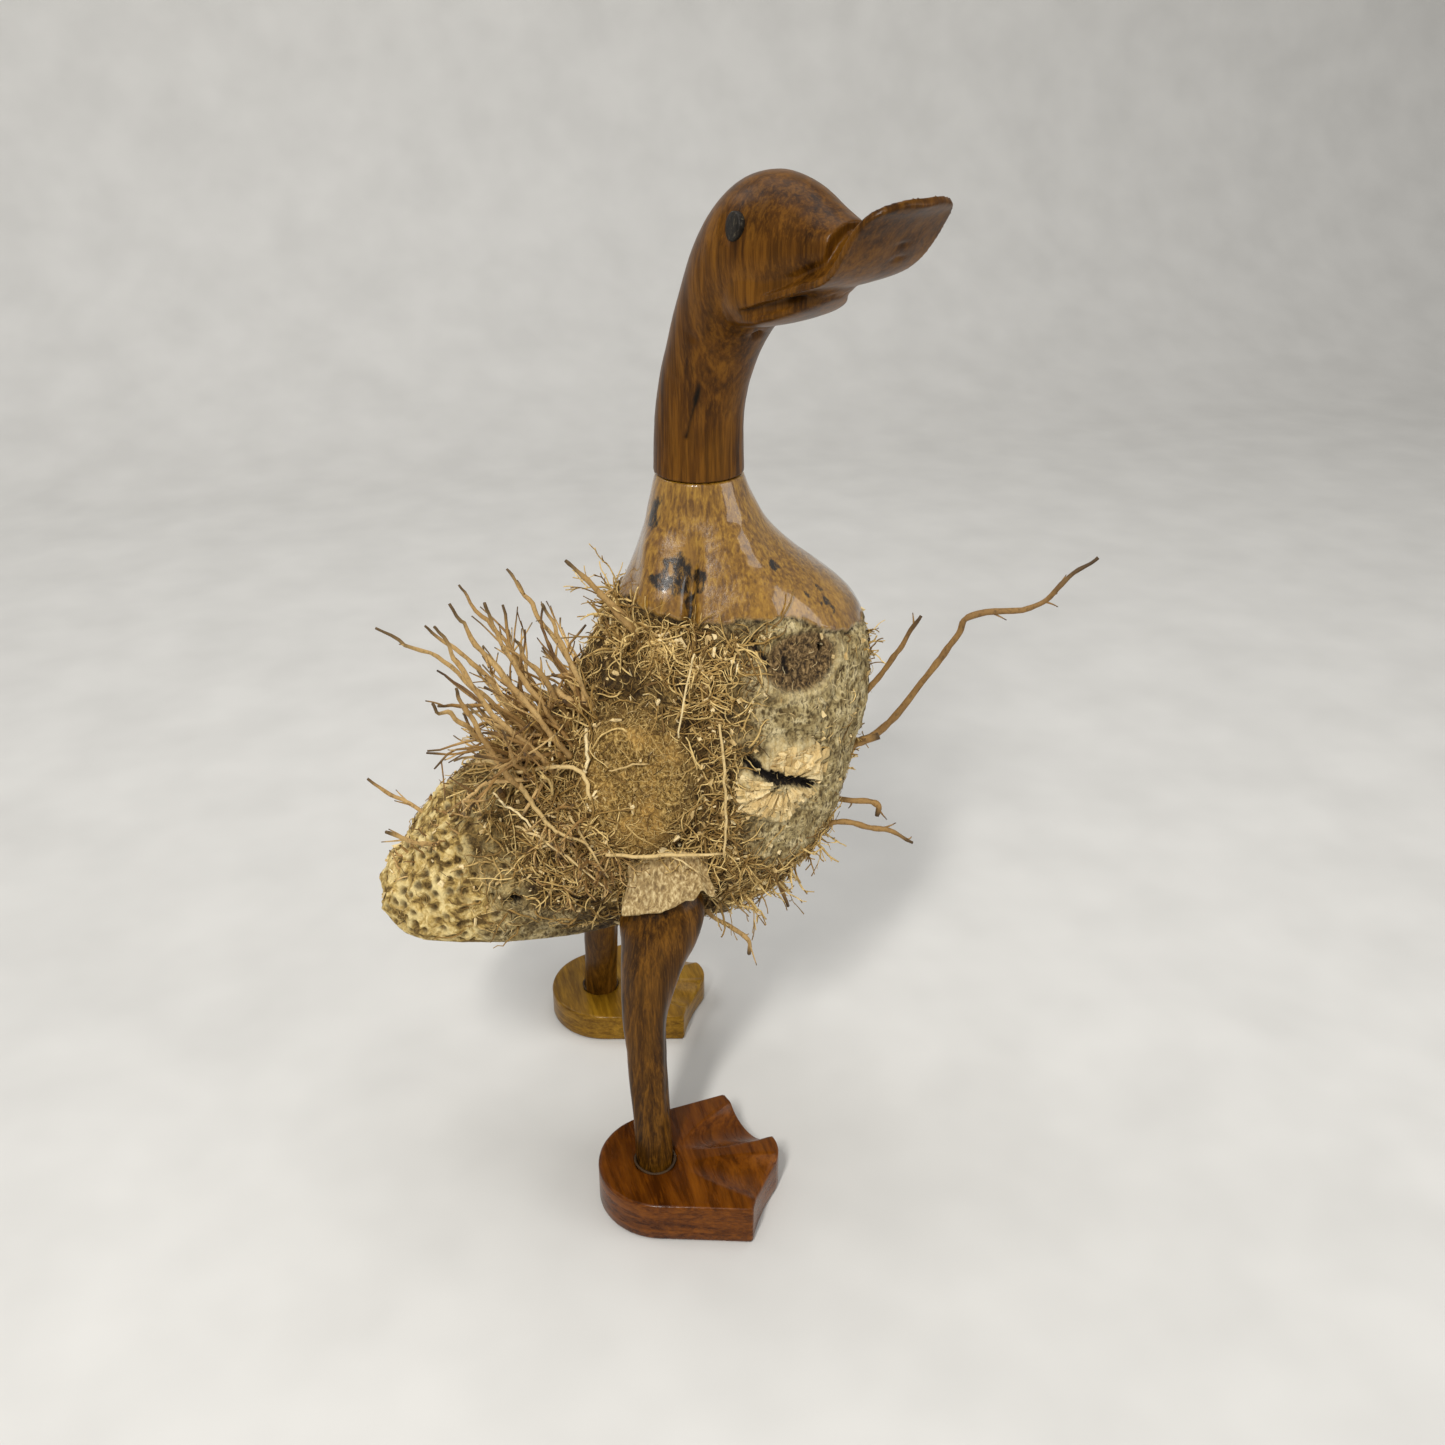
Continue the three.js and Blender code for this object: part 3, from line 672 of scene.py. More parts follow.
    # mouth line between the bills, and the gape corner
    for s in (-1, 1):
        g = near_line(q, [(47, s * 19.2, 378.2), (52, s * 18.6, 379.6), (58, s * 17.8, 381.6),
                          (64, s * 15, 383.8), (70, s * 10, 386.2), (75, s * 3, 387.6)])
        gap = np.minimum(gap, g)
        # the jaw ends in a ledge over the neck
        g = near_line(q, [(18, s * 15.5, 365.5), (22, s * 14, 368.5), (26, s * 11.5, 369.2),
                          (30, s * 7.5, 368.2), (33, 0, 367.2)])
        d -= 3.0 * bell(g, 1.7)
        # a flat is cut for the eye plug
        at, axis = eye_axis(s)
        high = (q - at) @ axis
        away = np.linalg.norm(q - at - high[:, None] * axis, axis=1)
        over = np.clip(high + 0.1, 0, 3) * (1 - step(away, 5.2, 8.5)) * (np.abs(high) < 4)
        q = q - axis * over[:, None]
    d -= 2.3 * bell(gap, 1.0)
    p = from_head(q)
    # two small dents in the sole of the upper bill
    for c in ((100.5, 3.5, 404.5), (96.2, 5.5, 399.8)):
        g = np.linalg.norm((q - c) / np.array([1.0, 2.2, 1.0]), axis=1)
        d -= 0.7 * bell(g, 1.3)
    # a drying check runs down the right side of the neck
    g = near_line(q, [(24.5, -11.5, 366), (18.3, -12, 353), (13.4, -13, 338), (10, -14.3, 326)])
    d -= 0.5 * bell(g, 0.8)
    set_points(o, p + n * d[:, None])
    # dark: painted shade in the mouth line between the bills and in the drying check, plus a soft
    # dark line from below and behind the right eye down to the throat, and slight darkening towards
    # the crown
    wide = near_line(q, [(40, -20.5, 398), (33, -19.5, 386), (28, -17, 374), (24.5, -12, 366)])
    attribute(o, "dark", np.clip(0.95 * bell(gap, 1.0) + 1.0 * bell(g + 0.5 * noise(q, 6, 9), 0.9)
                                 + 0.4 * bell(wide + noise(q, 5, 8), 1.3)
                                 + 0.2 * step(q[:, 2], 398, 416), 0, 1))
    o.data.materials.append(M_HEAD)
    finished(o, ["head_and_neck"])


def eyes():
    for s, word in SIDES:
        c, n = eye_axis(s)
        u = unit(np.array([0, 0, 1.0]) - n * n[2])
        v = np.cross(n, u)
        rings = [oval(c + n * k, u, v, r, r, 40) for k, r in (
            (-5, 4.95), (-0.3, 4.95), (0.1, 4.85), (0.3, 4.4), (0.45, 2.6), (0.5, 1.1))]
        vv, ff = skin(from_head(rings))
        o = new_object("eye_plug_" + word, vv, ff, M_EYE)
        finished(o, ["eye_" + word])


head()
eyes()

# ---------------------------------------------------------------- rhizome body
COLUMN = [
    [308, 21, 56, 17.5], [298, 19, 60, 19.5], [287, 16.5, 66, 24], [276, 13, 76, 30],
    [264, 8, 92, 37], [251, 1, 105, 43], [236, -8, 110, 47.5], [215, -18, 111, 50.5],
    [195, -24, 109.5, 51], [175, -25, 105, 50], [158, -22, 100, 48], [143, -15, 93, 45],
    [129, -6, 82, 39], [117, 6, 68, 30], [109, 20, 52, 17],
]
TAIL = [
    [48, 118, 205, 38], [24, 110, 214, 43], [0, 106, 219, 45], [-20, 104, 211, 44],
    [-40, 103, 199, 41], [-56, 103, 189, 38], [-70, 104, 179, 35], [-80, 106, 168, 32],
    [-89, 110, 156, 28], [-97, 117, 147, 21], [-101.5, 125, 138, 10],
]


# centre and half sizes of the marks on the right side
NODE_SCAR = (70, -42, 240)
BUD_SCAR, BUD_SIZE = (61, -48, 189), (21, 24, 20)
FELT = (1, -44, 194)


def sawn(x):
    """Height of the tail's sawn underside."""
    return 124.5 - 0.165 * (x + 97)


CAVITY = np.array([(46, -51, 203), (50, -51, 197), (56, -50, 193), (63, -49, 189),
                   (70, -46, 186), (78, -41, 181)])
# centre and size of the holes and of the dark spots
BLOTS = [((19, -6, 293), 4.2), ((20, -20, 274), 3.4), ((25, -25, 273), 6), ((27, -28, 266), 3),
         ((30, -28, 274), 2.6), ((17, -14, 268), 2), ((84, -28, 258), 2.6), ((82, -25, 263), 2.0),
         ((74, -30, 266), 1.6), ((62, -26, 276), 1.3), ((86, 20, 262), 5), ((30, 26, 280), 6),
         ((16, 16, 270), 4)]
HOLES = [((-50, -40, 144), 3.2), ((80, -39, 244), 1.9), ((-57, -38, 128), 1.6),
         ((61, 45, 236), 2.0), ((-46, 38, 150), 2.4), ((20, 50, 200), 2.6)]


def shoulder_form(p):
    """Lobes and creases of the polished shoulders: height, and distance to the deep crease."""
    crease = near_line(p, [(35, -18, 300), (30, -24, 282), (27, -29, 269), (25, -34, 256),
                           (24, -40, 244)])
    d = -4.6 * bell(crease, 3.2) * step(-p[:, 2], -292, -268)
    for line, high, wide in (([(15, -14, 282), (12, -22, 265)], 4.6, 9),
                             ([(50, -26, 286), (56, -38, 266)], 1.6, 10),
                             ([(60, 22, 292), (66, 34, 272), (70, 42, 256)], -1.8, 4)):
        d += high * bell(near_line(p, line), wide)
    return d, crease


def bulges(p):
    """A felted bulge on each side, with a groove round it."""
    d = np.zeros(len(p))
    for centre, size, high in (((1, -40, 192), (27, 30, 37), 5.0),
                               ((8, 42, 186), (26, 28, 30), 3.6)):
        g = egg(p, centre, size)
        d += high * (1 - step(g, 0.55, 1.0)) - 1.6 * bell(g - 1.02, 0.1)
    return d


def node_scar(p, raw):
    """High on the right breast: height, the hollow, and the pale part of its rim."""
    s = (p - NODE_SCAR) / np.array((19, 26, 13))
    g = np.linalg.norm(s, axis=1)
    hollow = (1 - step(g, 0.82, 1.0)) * raw
    rim = bell(g - 1.05, 0.16) * raw
    d = -1.8 * hollow + rim * step(-s[:, 2] + 0.4 * s[:, 0], -0.6, 0.5)
    return d, hollow, 0.35 * rim * step(-s[:, 2], -0.9, 0.2)


def bud_scar(p):
    """A torn bud on the right side: height, its splayed star, and the cavity across it."""
    s = (p - BUD_SCAR) / np.array(BUD_SIZE)
    g = np.linalg.norm(s, axis=1)
    star = 1 - step(g + 0.14 * noise(p, 5, 51), 0.86, 1.04)
    ray = np.arctan2(s[:, 2], s[:, 0])
    d = star * (1.6 + 0.7 * np.sin(ray * 17 + 2 * noise(p, 8, 52))) - 1.3 * bell(g - 1.1, 0.1)
    across = near_line(p[:, ::2], CAVITY[:, ::2]) + 50 * (p[:, 1] > 0)
    cavity = bell(across, 2.3 + 1.3 * noise(p, 3.4, 53))
    for a in (0.5, 1.5, 2.3, 3.5, 4.3, 5.1, 5.8):
        tip = (63 + 11 * math.cos(a), -50, 188 + 10 * math.sin(a))
        slit = near_line(p, [(62, -49.5, 188), tip])
        cavity = np.maximum(cavity, 0.8 * bell(slit, 1.05))
    return d - 4.2 * cavity, star, cavity


def cracks(p):
    """Two cracks through the node scar."""
    away = np.minimum(
        near_line(p, [(61, -44, 254), (62.5, -46, 246), (63, -46, 239), (67, -45, 234)]),
        near_line(p, [(49, -43, 252), (52, -45, 246), (55, -46, 241)]))
    return bell(away + 0.8 * noise(p, 3, 58), 1.3)


def root_pits(p, tail):
    """Round scars all over the tail, where roots broke off: height and mask."""
    d, pits = np.zeros(len(p)), np.zeros(len(p))
    clear = p[:, 2] > sawn(p[:, 0]) + 2
    r = np.random.default_rng(5)
    chosen = np.zeros((0, 3))
    for i in r.permutation(np.flatnonzero((p[:, 0] < -46) & clear)):
        c = p[i]
        space = 4.3 if c[0] < -70 else 5.6
        if len(chosen) and np.min(np.linalg.norm(chosen - c, axis=1)) < space:
            continue
        chosen = np.vstack([chosen, c])
        if r.random() < 0.12:
            continue
        size = r.uniform(1.2, 2.3)
        near = np.flatnonzero(np.abs(p[:, 0] - c[0]) < 3.6)
        g = np.linalg.norm((p[near] - c) * (1, 0.85, 1.15), axis=1)
        pits[near] = np.maximum(pits[near], np.exp(-((g / size) ** 4)))
        d[near] += 0.4 * bell(g - size * 1.5, 0.6)
    pits *= tail * clear
    return d - 1.2 * pits, pits


def root_holes(p):
    """Deep holes with a raised lip: height and mask."""
    d, holes = np.zeros(len(p)), np.zeros(len(p))
    for c, size in HOLES:
        g = np.linalg.norm(p - c, axis=1)
        holes = np.maximum(holes, np.exp(-((g / size) ** 4)))
        d += 0.8 * bell(g - size * 1.5, 1.2)
    return d - 5 * holes, holes


def blots(p):
    """Ragged dark spots on the polished shoulders."""
    out = np.zeros(len(p))
    long = np.array([1, 1, 0.55])
    for c, size in BLOTS:
        g = np.linalg.norm((p - c) * long, axis=1) + 2.2 * noise(p * long, 2.8, 71) \
            + 1.3 * noise(p * long, 1.3, 72)
        out = np.maximum(out, 1 - step(g, size * 0.6, size * 1.25))
    return out


def body():
    col = [oval(((b + f) / 2, 0, z), (1, 0, 0), (0, 1, 0), (f - b) / 2, w, 96)
           for z, b, f, w in smooth_rows(COLUMN, 5)]
    tail = [oval((x, 0, (a + b) / 2), (0, 1, 0), (0, 0, 1), w, (b - a) / 2, 80)
            for x, a, b, w in smooth_rows(TAIL, 5)]
    o = fused("rhizome", [skin(col), skin(tail)], 0.82, 10)
    p, n = points_of(o), normals_of(o)
    # where each kind of surface lies
    top = step(p[:, 2], 303, 307)
    edge = 259 + 2.0 * noise(p, 9, 21) + 0.9 * noise(p, 3, 22) - 14 * step(p[:, 0], 60, 98)
    polish = step(p[:, 2] - edge, -0.8, 1.0)
    raw = 1 - polish
    lip = raw * step(p[:, 2] - edge, -3.2, -0.4)
    tail_m = step(-p[:, 0] + 3 * noise(p, 9, 62), 40, 52)
    past = -p[:, 0] + 0.12 * (150 - p[:, 2])
    cream = step(past + 6 * noise(p, 9, 63), 60, 71)
    seam = bell(past - 70.5 + 0.8 * noise(p, 5, 64), 0.8)
    ring_at = p[:, 0] - 0.22 * (p[:, 2] - 150) + 1.4 * noise(p, 16, 61)
    crack = cracks(p) * raw
    # height over the smooth skin
    d, crease = shoulder_form(p)
    d *= 1 - top
    d += polish * (1 - top) * (0.5 * noise(p, 22, 31) + 0.16 * noise(p, 6, 32))
    d += raw * (1.6 * fbm(p, 15, 2, 41) + 0.8 * fbm(p, 4.6, 2, 43)
                + 0.35 * noise(p, 1.9, 44) - 0.9)
    high, scar, pale_rim = node_scar(p, raw)
    d += bulges(p) + high - 1.2 * crack - 0.8 * seam
    high, star, cavity = bud_scar(p)
    d += high + tail_m * raw * (0.35 * np.sin(ring_at * 2 * np.pi / 8.2) + 0.6)
    high, pits = root_pits(p, tail_m)
    d += high
    high, holes = root_holes(p)
    d += high
    # the saw left the rim of the tail's underside crisp
    calm = (p[:, 0] < 20) * (1 - step(p[:, 2] - sawn(p[:, 0]), 0, 6))
    d *= (1 - top) * (1 - 0.8 * calm)
    q = p + n * d[:, None]
    flat = (q[:, 0] < 22) & (q[:, 2] < sawn(q[:, 0]))
    q[flat, 2] = sawn(q[flat, 0])
    q[:, 2] = np.minimum(q[:, 2], NECK_Z)
    set_points(o, q)
    # what the material reads
    under = step(sawn(q[:, 0]) + 0.6 - q[:, 2], 0, 0.5) * (q[:, 0] < 20)
    # dark: real dark blots on the polished shoulders and a darker strip just under the polished
    # edge, with painted shade in the bud scar's cavity, the holes, the pit centres, the shoulder
    # crease, the cracks, the seam round the pale tail and on the sawn underside
    dark = np.maximum.reduce([
        0.72 * blots(p) * polish, np.clip(cavity * 1.5, 0, 1), holes, 0.25 * pits ** 3,
        0.6 * bell(crease, 2.4) * raw, 0.55 * lip, 0.9 * crack, 0.42 * under,
        0.22 * seam * tail_m, 0.8 * bell(crease, 1.5) * step(272 - p[:, 2], 0, 8)])
    grey = (step(p[:, 0] + 6 * noise(p, 12, 73), 34, 60) + under
            + step(150 - p[:, 2] + 5 * noise(p, 9, 74), 8, 24) * step(-p[:, 0], 14, 34) * 0.8
            + 0.7 * tail_m * (1 - cream) * step(168 - p[:, 2], 0, 20))
    patchy = 0.35 * tail_m * np.clip(noise(p, 7, 66) + 0.6, 0, 1)
    masks = {
        "polish": polish, "pit": pits, "dark": dark, "felt": (
            1 - step(egg(p, FELT, (25, 40, 34)), 0.6, 1.05)) * raw, "red": scar,
        "tail": np.clip(cream + patchy, 0, 1) * (1 - under),
        "grey": np.clip(grey, 0, 1) * (1 - star),
        "pale": np.clip(star * 0.95 + pale_rim, 0, 1) * (1 - np.clip(cavity, 0, 1)),
    }
    for name, values in masks.items():
        attribute(o, name, np.clip(values, 0, 1))
    o.data.materials.append(M_BODY)
    finished(o, ["root_body"])
    return o


BODY = body()

# ---------------------------------------------------------------- surface sampling
BODY.data.calc_loop_triangles()
_tri = np.empty(len(BODY.data.loop_triangles) * 3, np.int64)
BODY.data.loop_triangles.foreach_get("vertices", _tri)
_tri = _tri.reshape(-1, 3)
_pts = points_of(BODY)
_nrm = normals_of(BODY)
_area = np.linalg.norm(np.cross(_pts[_tri[:, 1]] - _pts[_tri[:, 0]],
                                _pts[_tri[:, 2]] - _pts[_tri[:, 0]]), axis=1)
SKIN = BVHTree.FromPolygons(_pts.tolist(), _tri.tolist(), all_triangles=True)


def scatter(count, weight, r):
    """count points on the body, chosen by area times weight(points)."""
    c = _pts[_tri].mean(1)
    w = _area * weight(c)
    pick = r.choice(len(w), count, p=w / w.sum())
    a = r.random((count, 2))
    a = np.where(a.sum(1, keepdims=True) > 1, 1 - a, a)
    t = _tri[pick]
    p = (_pts[t[:, 0]] + a[:, :1] * (_pts[t[:, 1]] - _pts[t[:, 0]])
         + a[:, 1:] * (_pts[t[:, 2]] - _pts[t[:, 0]]))
    n = _nrm[t].mean(1)
    return p, n / np.linalg.norm(n, axis=1)[:, None]


BAND_A = [(-16, -14, 226), (-27, -20, 208), (-27, -34, 190), (-19, -46, 168), (-10, -46, 152)]
BAND_B = [(20, -36, 250), (30, -46, 236), (34, -50, 218), (36, -52, 192), (34, -50, 166),
          (44, -46, 150), (52, -42, 140)]
NECKLACE = [(2, -8, 252), (12, -26, 250), (30, -40, 248), (44, -43, 246)]


def above_saw(p):
    """0 near the tail's sawn underside, where nothing grows."""
    return np.maximum(step(p[:, 2] - sawn(p[:, 0]), 6, 13), p[:, 0] > 20)


def hairiness(p):
    edge = 258 - 14 * step(p[:, 0], 60, 98)
    w = 0.35 + 0.5 * np.clip(noise(p, 14, 81) + 0.2, 0, 1)
    w *= 1 - 0.9 * step(p[:, 0] - 0.1 * (p[:, 2] - 190), 44, 56)
    w *= 1 - 0.9 * step(-p[:, 0], 56, 76)
    for line, size, gain in ((BAND_A, 9, 3.0), (BAND_B, 8, 2.0), (NECKLACE, 9, 2.6)):
        for s in (1, -1):
            pts = [(a, s * b, c) for a, b, c in line]
            w += gain * bell(near_line(p, pts), size)
    w += 1.6 * bell(p[:, 0] + 22, 22) * step(150 - np.abs(p[:, 2] - 168), 118, 140)
    w += 1.8 * bell(near_line(p, [(44, -38, 134), (66, -34, 132), (84, -24, 146)]), 9)
    felt = egg(p, FELT, (24, 40, 32))
    w *= 0.18 + 0.82 * step(felt, 0.75, 1.05)
    star = egg(p, BUD_SCAR, BUD_SIZE)
    w *= step(star, 0.9, 1.1)
    scar = egg(p, NODE_SCAR, (21, 28, 15))
    w *= step(scar, 0.9, 1.1)
    w *= step(edge - p[:, 2], 0, 5)
    return np.clip(w, 0, None) * above_saw(p)


def strands(count, weight, r, length, radius, segments, lift, curl):
    """Hair that starts on the skin and wanders along it."""
    p, n = scatter(count, weight, r)
    d = r.normal(size=(count, 3))
    d -= n * (d * n).sum(1)[:, None]
    d /= np.linalg.norm(d, axis=1)[:, None] + 1e-9
    size = r.uniform(*length, count)
    rad = r.uniform(*radius, count)
    up = np.abs(r.normal(0, lift, count))
    out = []
    bend = r.normal(size=(count, 3)) * curl
    for i in range(count):
        q, m, v = p[i] - n[i] * 0.4, n[i], d[i] + n[i] * up[i]
        v = unit(v)
        pts = [q]
        stride = size[i] / segments
        b = bend[i]
        for k in range(segments):
            q = q + v * stride
            near = SKIN.find_nearest(q.tolist(), 30)
            if near[0] is not None:
                m = np.array(near[1])
                h = (q - np.array(near[0])) @ m
                want = 0.35 + up[i] * size[i] * 0.35 * ((k + 1) / segments) ** 1.3
                q = q + m * (want - h) * (0.8 if h > want else 1.0)
            pts.append(q)
            v = v + b / segments + r.normal(0, 0.16, 3)
            v = v - m * (v @ m) * 0.5
            v = unit(v)
        taper = np.linspace(1, 0.4, segments + 1)
        out.append((np.array(pts), rad[i] * taper))
    return out


# x, y, z and radius along the straws and roots that lie over the hair
STRAWS = [
    [(-13, -49, 167, 0.75), (0, -51, 165.5, 0.8), (16, -52.5, 164, 0.75), (35, -52, 162, 0.5)],
    [(33, -52.5, 222, 0.5), (34.5, -54.5, 205, 0.55), (35, -54.5, 184, 0.55), (35, -53, 161, 0.45)],
    [(24, -50, 252, 0.35), (20, -51, 236, 0.4), (17, -52, 218, 0.35)],
    [(-58, -4, 191, 1.3), (-53, -12, 195, 1.2), (-44, -22, 195, 0.9), (-33, -29, 199, 0.8),
     (-22, -34, 200, 0.9), (-18, -38, 196, 0.9), (-17, -41, 188, 0.8)],
    [(-46, -20, 194, 1.2), (-42, -31, 190, 1.1), (-37, -38, 183, 0.9), (-32, -44, 178, 0.7),
     (-20, -48, 172, 0.5)],
    [(-15, -23, 211, 0.8), (-16, -31, 204, 0.8), (-18, -35, 197, 0.7)],
    [(-27, -6, 210, 0.6), (-29, -20, 205, 0.6), (-30, -27, 198, 0.5)],
    [(-54, -24, 188, 0.4), (-51, -28, 185, 0.5), (-44, -35, 181, 0.5), (-39, -39, 175, 0.4)],
    [(-26, -42, 183, 0.5), (-20, -47, 171, 0.5), (-13, -50, 157, 0.4)],
    [(-50, -26, 176, 0.5), (-40, -39, 174, 0.6), (-28, -46, 166, 0.5), (-14, -50, 152, 0.4)],
    [(-9, -42, 201, 0.3), (2, -46, 205, 0.4), (10, -47, 204, 0.3)],
    [(8, -50, 166, 0.35), (18, -51.5, 160, 0.4), (27, -50.5, 150, 0.35), (33, -48, 141, 0.3)],
    [(-20, 49, 172, 0.6), (-4, 52, 168, 0.6), (16, 53, 160, 0.4)],
    [(30, 52.5, 222, 0.5), (33, 55, 196, 0.5), (30, 53, 170, 0.4)],
]


def hair():
    k = 1.0
    r = np.random.default_rng(91)

    def sparse(p):
        edge = 257 - 14 * step(p[:, 0], 60, 98)
        return step(edge - p[:, 2], 0, 4) * (0.3 + step(p[:, 0], 30, 60)) * above_saw(p)

    def felted(p):
        return 1 - step(egg(p, FELT, (26, 40, 34)), 0.85, 1.05)

    # coat, count, where, length, radius, joints, lift, curl, material, sides
    coats = (
        ("fine", 4600, hairiness, (3, 10), (0.18, 0.38), 5, 0.35, 1.1, M_HAIR, 3),
        ("dark", 3000, hairiness, (3, 9), (0.16, 0.36), 4, 0.2, 0.7, M_HAIR_DARK, 3),
        ("coarse", 1600, hairiness, (6, 20), (0.3, 0.62), 8, 0.35, 1.7, M_HAIR, 4),
        ("fuzz", 700, sparse, (1.5, 5), (0.12, 0.24), 3, 0.5, 0.4, M_STRAW, 3),
        ("felt", 1600, felted, (1.5, 4.5), (0.12, 0.22), 3, 0.3, 0.8, M_HAIR, 3),
    )
    for i, (coat, count, where, length, radius, joints, lift, curl, mat, sides) in enumerate(coats):
        paths = strands(int(count * k), where, r, length, radius, joints, lift, curl)
        finished(tubes("root_hair_" + coat, paths, mat, sides, i + 1))
    paths = []
    for rows in STRAWS:
        row = smooth_rows(rows, 5)
        row[:, :3] += 0.25 * r.normal(size=(len(row), 3))
        paths.append((row[:, :3], row[:, 3]))
    finished(tubes("loose_straws", paths, M_STRAW, 7, 6))


hair()

# ---------------------------------------------------------------- rootlets
# x, y, z and radius along each thick rootlet
ROOTLETS = {
    "breast_root_long": [
        (97, -6, 178, 2.2), (105, -8, 181, 2.2), (119, -10, 188, 1.9), (138, -14, 216, 1.8),
        (148, -16, 232, 1.7), (153, -18, 241, 1.6), (180, -22, 244, 1.4), (189, -24, 254, 1.3),
        (204, -26, 265, 0.9)],
    "breast_root_upper": [
        (97, -12, 196, 1.8), (104, -14, 204, 1.7), (112, -17, 216, 1.5), (120, -20, 230, 1.3),
        (128, -22, 245, 0.8)],
    "breast_root_stub": [
        (92, -14, 182, 2.6), (99, -16, 184, 2.5), (105, -18, 187, 2.3), (113, -20, 190, 1.8)],
    "breast_root_hooked": [
        (82, -15, 163, 1.9), (90, -18, 162, 1.8), (99, -20, 160, 1.6), (108, -22, 159, 1.6),
        (113, -24, 157, 1.9), (112, -25, 153, 1.2)],
    "belly_root_front": [
        (74, -17, 146, 1.8), (82, -20, 147, 1.7), (96, -24, 152, 1.5), (108, -28, 149, 1.5),
        (116, -30, 147, 1.3), (127, -33, 141, 0.8)],
    "belly_root_low": [
        (54, -22, 146, 1.5), (59, -26, 139, 1.4), (65, -28, 130, 1.2), (71, -30, 115, 0.8)],
    "thigh_side_root": [
        (30, -33, 126, 1.4), (35, -35, 119, 1.3), (42, -36, 114, 1.2), (50, -37, 106, 1.1),
        (51, -38, 98, 0.8)],
    "shoulder_root_tuft": [
        (10, -18, 246, 2.6), (2, -22, 258, 2.2), (-7, -24, 270, 1.5), (-20, -27, 285, 0.8)],
    "back_root_a": [
        (-22, -24, 200, 1.5), (-31, -28, 215, 1.4), (-43, -31, 236, 1.3), (-55, -34, 255, 1.1),
        (-65, -36, 276, 0.7)],
    "back_root_b": [
        (-20, -16, 203, 1.4), (-28, -19, 216, 1.3), (-38, -22, 236, 1.2), (-47, -25, 255, 1.1),
        (-53, -28, 273, 0.7)],
    "back_root_c": [
        (-30, -27, 196, 1.5), (-38, -31, 210, 1.4), (-51, -34, 226, 1.3), (-63, -36, 248, 1.2),
        (-71, -38, 268, 0.7)],
    "back_root_long": [
        (-30, -8, 198, 1.5), (-38, -13, 210, 1.4), (-52, -19, 226, 1.2), (-71, -26, 250, 1.0),
        (-91, -34, 267, 0.6)],
    "back_root_d": [
        (-42, -26, 188, 1.4), (-49, -32, 200, 1.3), (-56, -38, 218, 1.2), (-62, -41, 233, 1.1),
        (-67, -43, 245, 0.7)],
    "back_root_e": [
        (-44, -13, 192, 1.5), (-51, -20, 205, 1.4), (-60, -28, 218, 1.2), (-68, -35, 229, 1.1),
        (-76, -40, 238, 0.7)],
    "back_root_f": [
        (-16, -8, 206, 1.5), (-24, -13, 219, 1.4), (-32, -18, 236, 1.2), (-41, -24, 254, 0.7)],
    "back_root_g": [
        (-9, -16, 215, 1.4), (-15, -20, 228, 1.3), (-23, -24, 250, 1.1), (-30, -28, 269, 0.7)],
    "back_root_left_a": [
        (-24, 20, 202, 1.5), (-33, 25, 218, 1.4), (-45, 31, 238, 1.2), (-57, 38, 254, 0.7)],
    "back_root_left_b": [
        (-34, 12, 195, 1.5), (-44, 17, 210, 1.4), (-57, 22, 228, 1.2), (-72, 27, 242, 0.7)],
    "back_root_left_c": [
        (-10, 22, 212, 1.4), (-17, 29, 226, 1.3), (-27, 36, 243, 1.1), (-37, 44, 257, 0.7)],
    "tail_root_upper": [
        (-74, -15, 160, 1.3), (-82, -21, 166, 1.2), (-89, -24, 170, 1.1), (-98, -27, 178, 0.7)],
    "tail_root_lower": [
        (-78, 8, 160, 1.3), (-86, 13, 166, 1.2), (-94, 18, 169, 1.1), (-103, 22, 176, 0.7)],
}


def rootlets():
    r = np.random.default_rng(17)
    for name, rows in ROOTLETS.items():
        row = smooth_rows(rows, 8)
        m = len(row)
        path, size = row[:, :3], row[:, 3]
        wob = np.stack([noise(path + 50 * k, 7, 100 + k) for k in range(3)], -1)
        path = path + wob * (2.0 if name[:4] == "back" else 0.9) * np.linspace(0, 1, m)[:, None]
        size = size * (0.82 + 0.16 * noise(path, 2.2, 7) + 0.22 * np.clip(noise(path, 9, 8), 0, 1))
        paths = [(path, size)]
        # side branches
        for _ in range(max(2, m // 12)):
            k = int(r.integers(m // 4, m - 3))
            d = path[min(k + 3, m - 1)] - path[k - 1]
            d = unit(unit(d) + r.normal(0, 0.55, 3))
            length = r.uniform(4, 11)
            steps = np.linspace(0, 1, 6)[:, None]
            side = path[k] + d * length * steps + r.normal(0, 1.4, 3) * steps**2
            paths.append((side, np.linspace(size[k] * 0.5, 0.2, 6)))
        tone = 0.25 if name[:2] in ("br", "be") else 0.62
        finished(tubes("strand_" + name, paths, M_ROOT, 8, hash_name(name), tone), [name])


def hash_name(s):
    return sum(ord(c) * (i + 3) for i, c in enumerate(s)) % 9973


rootlets()


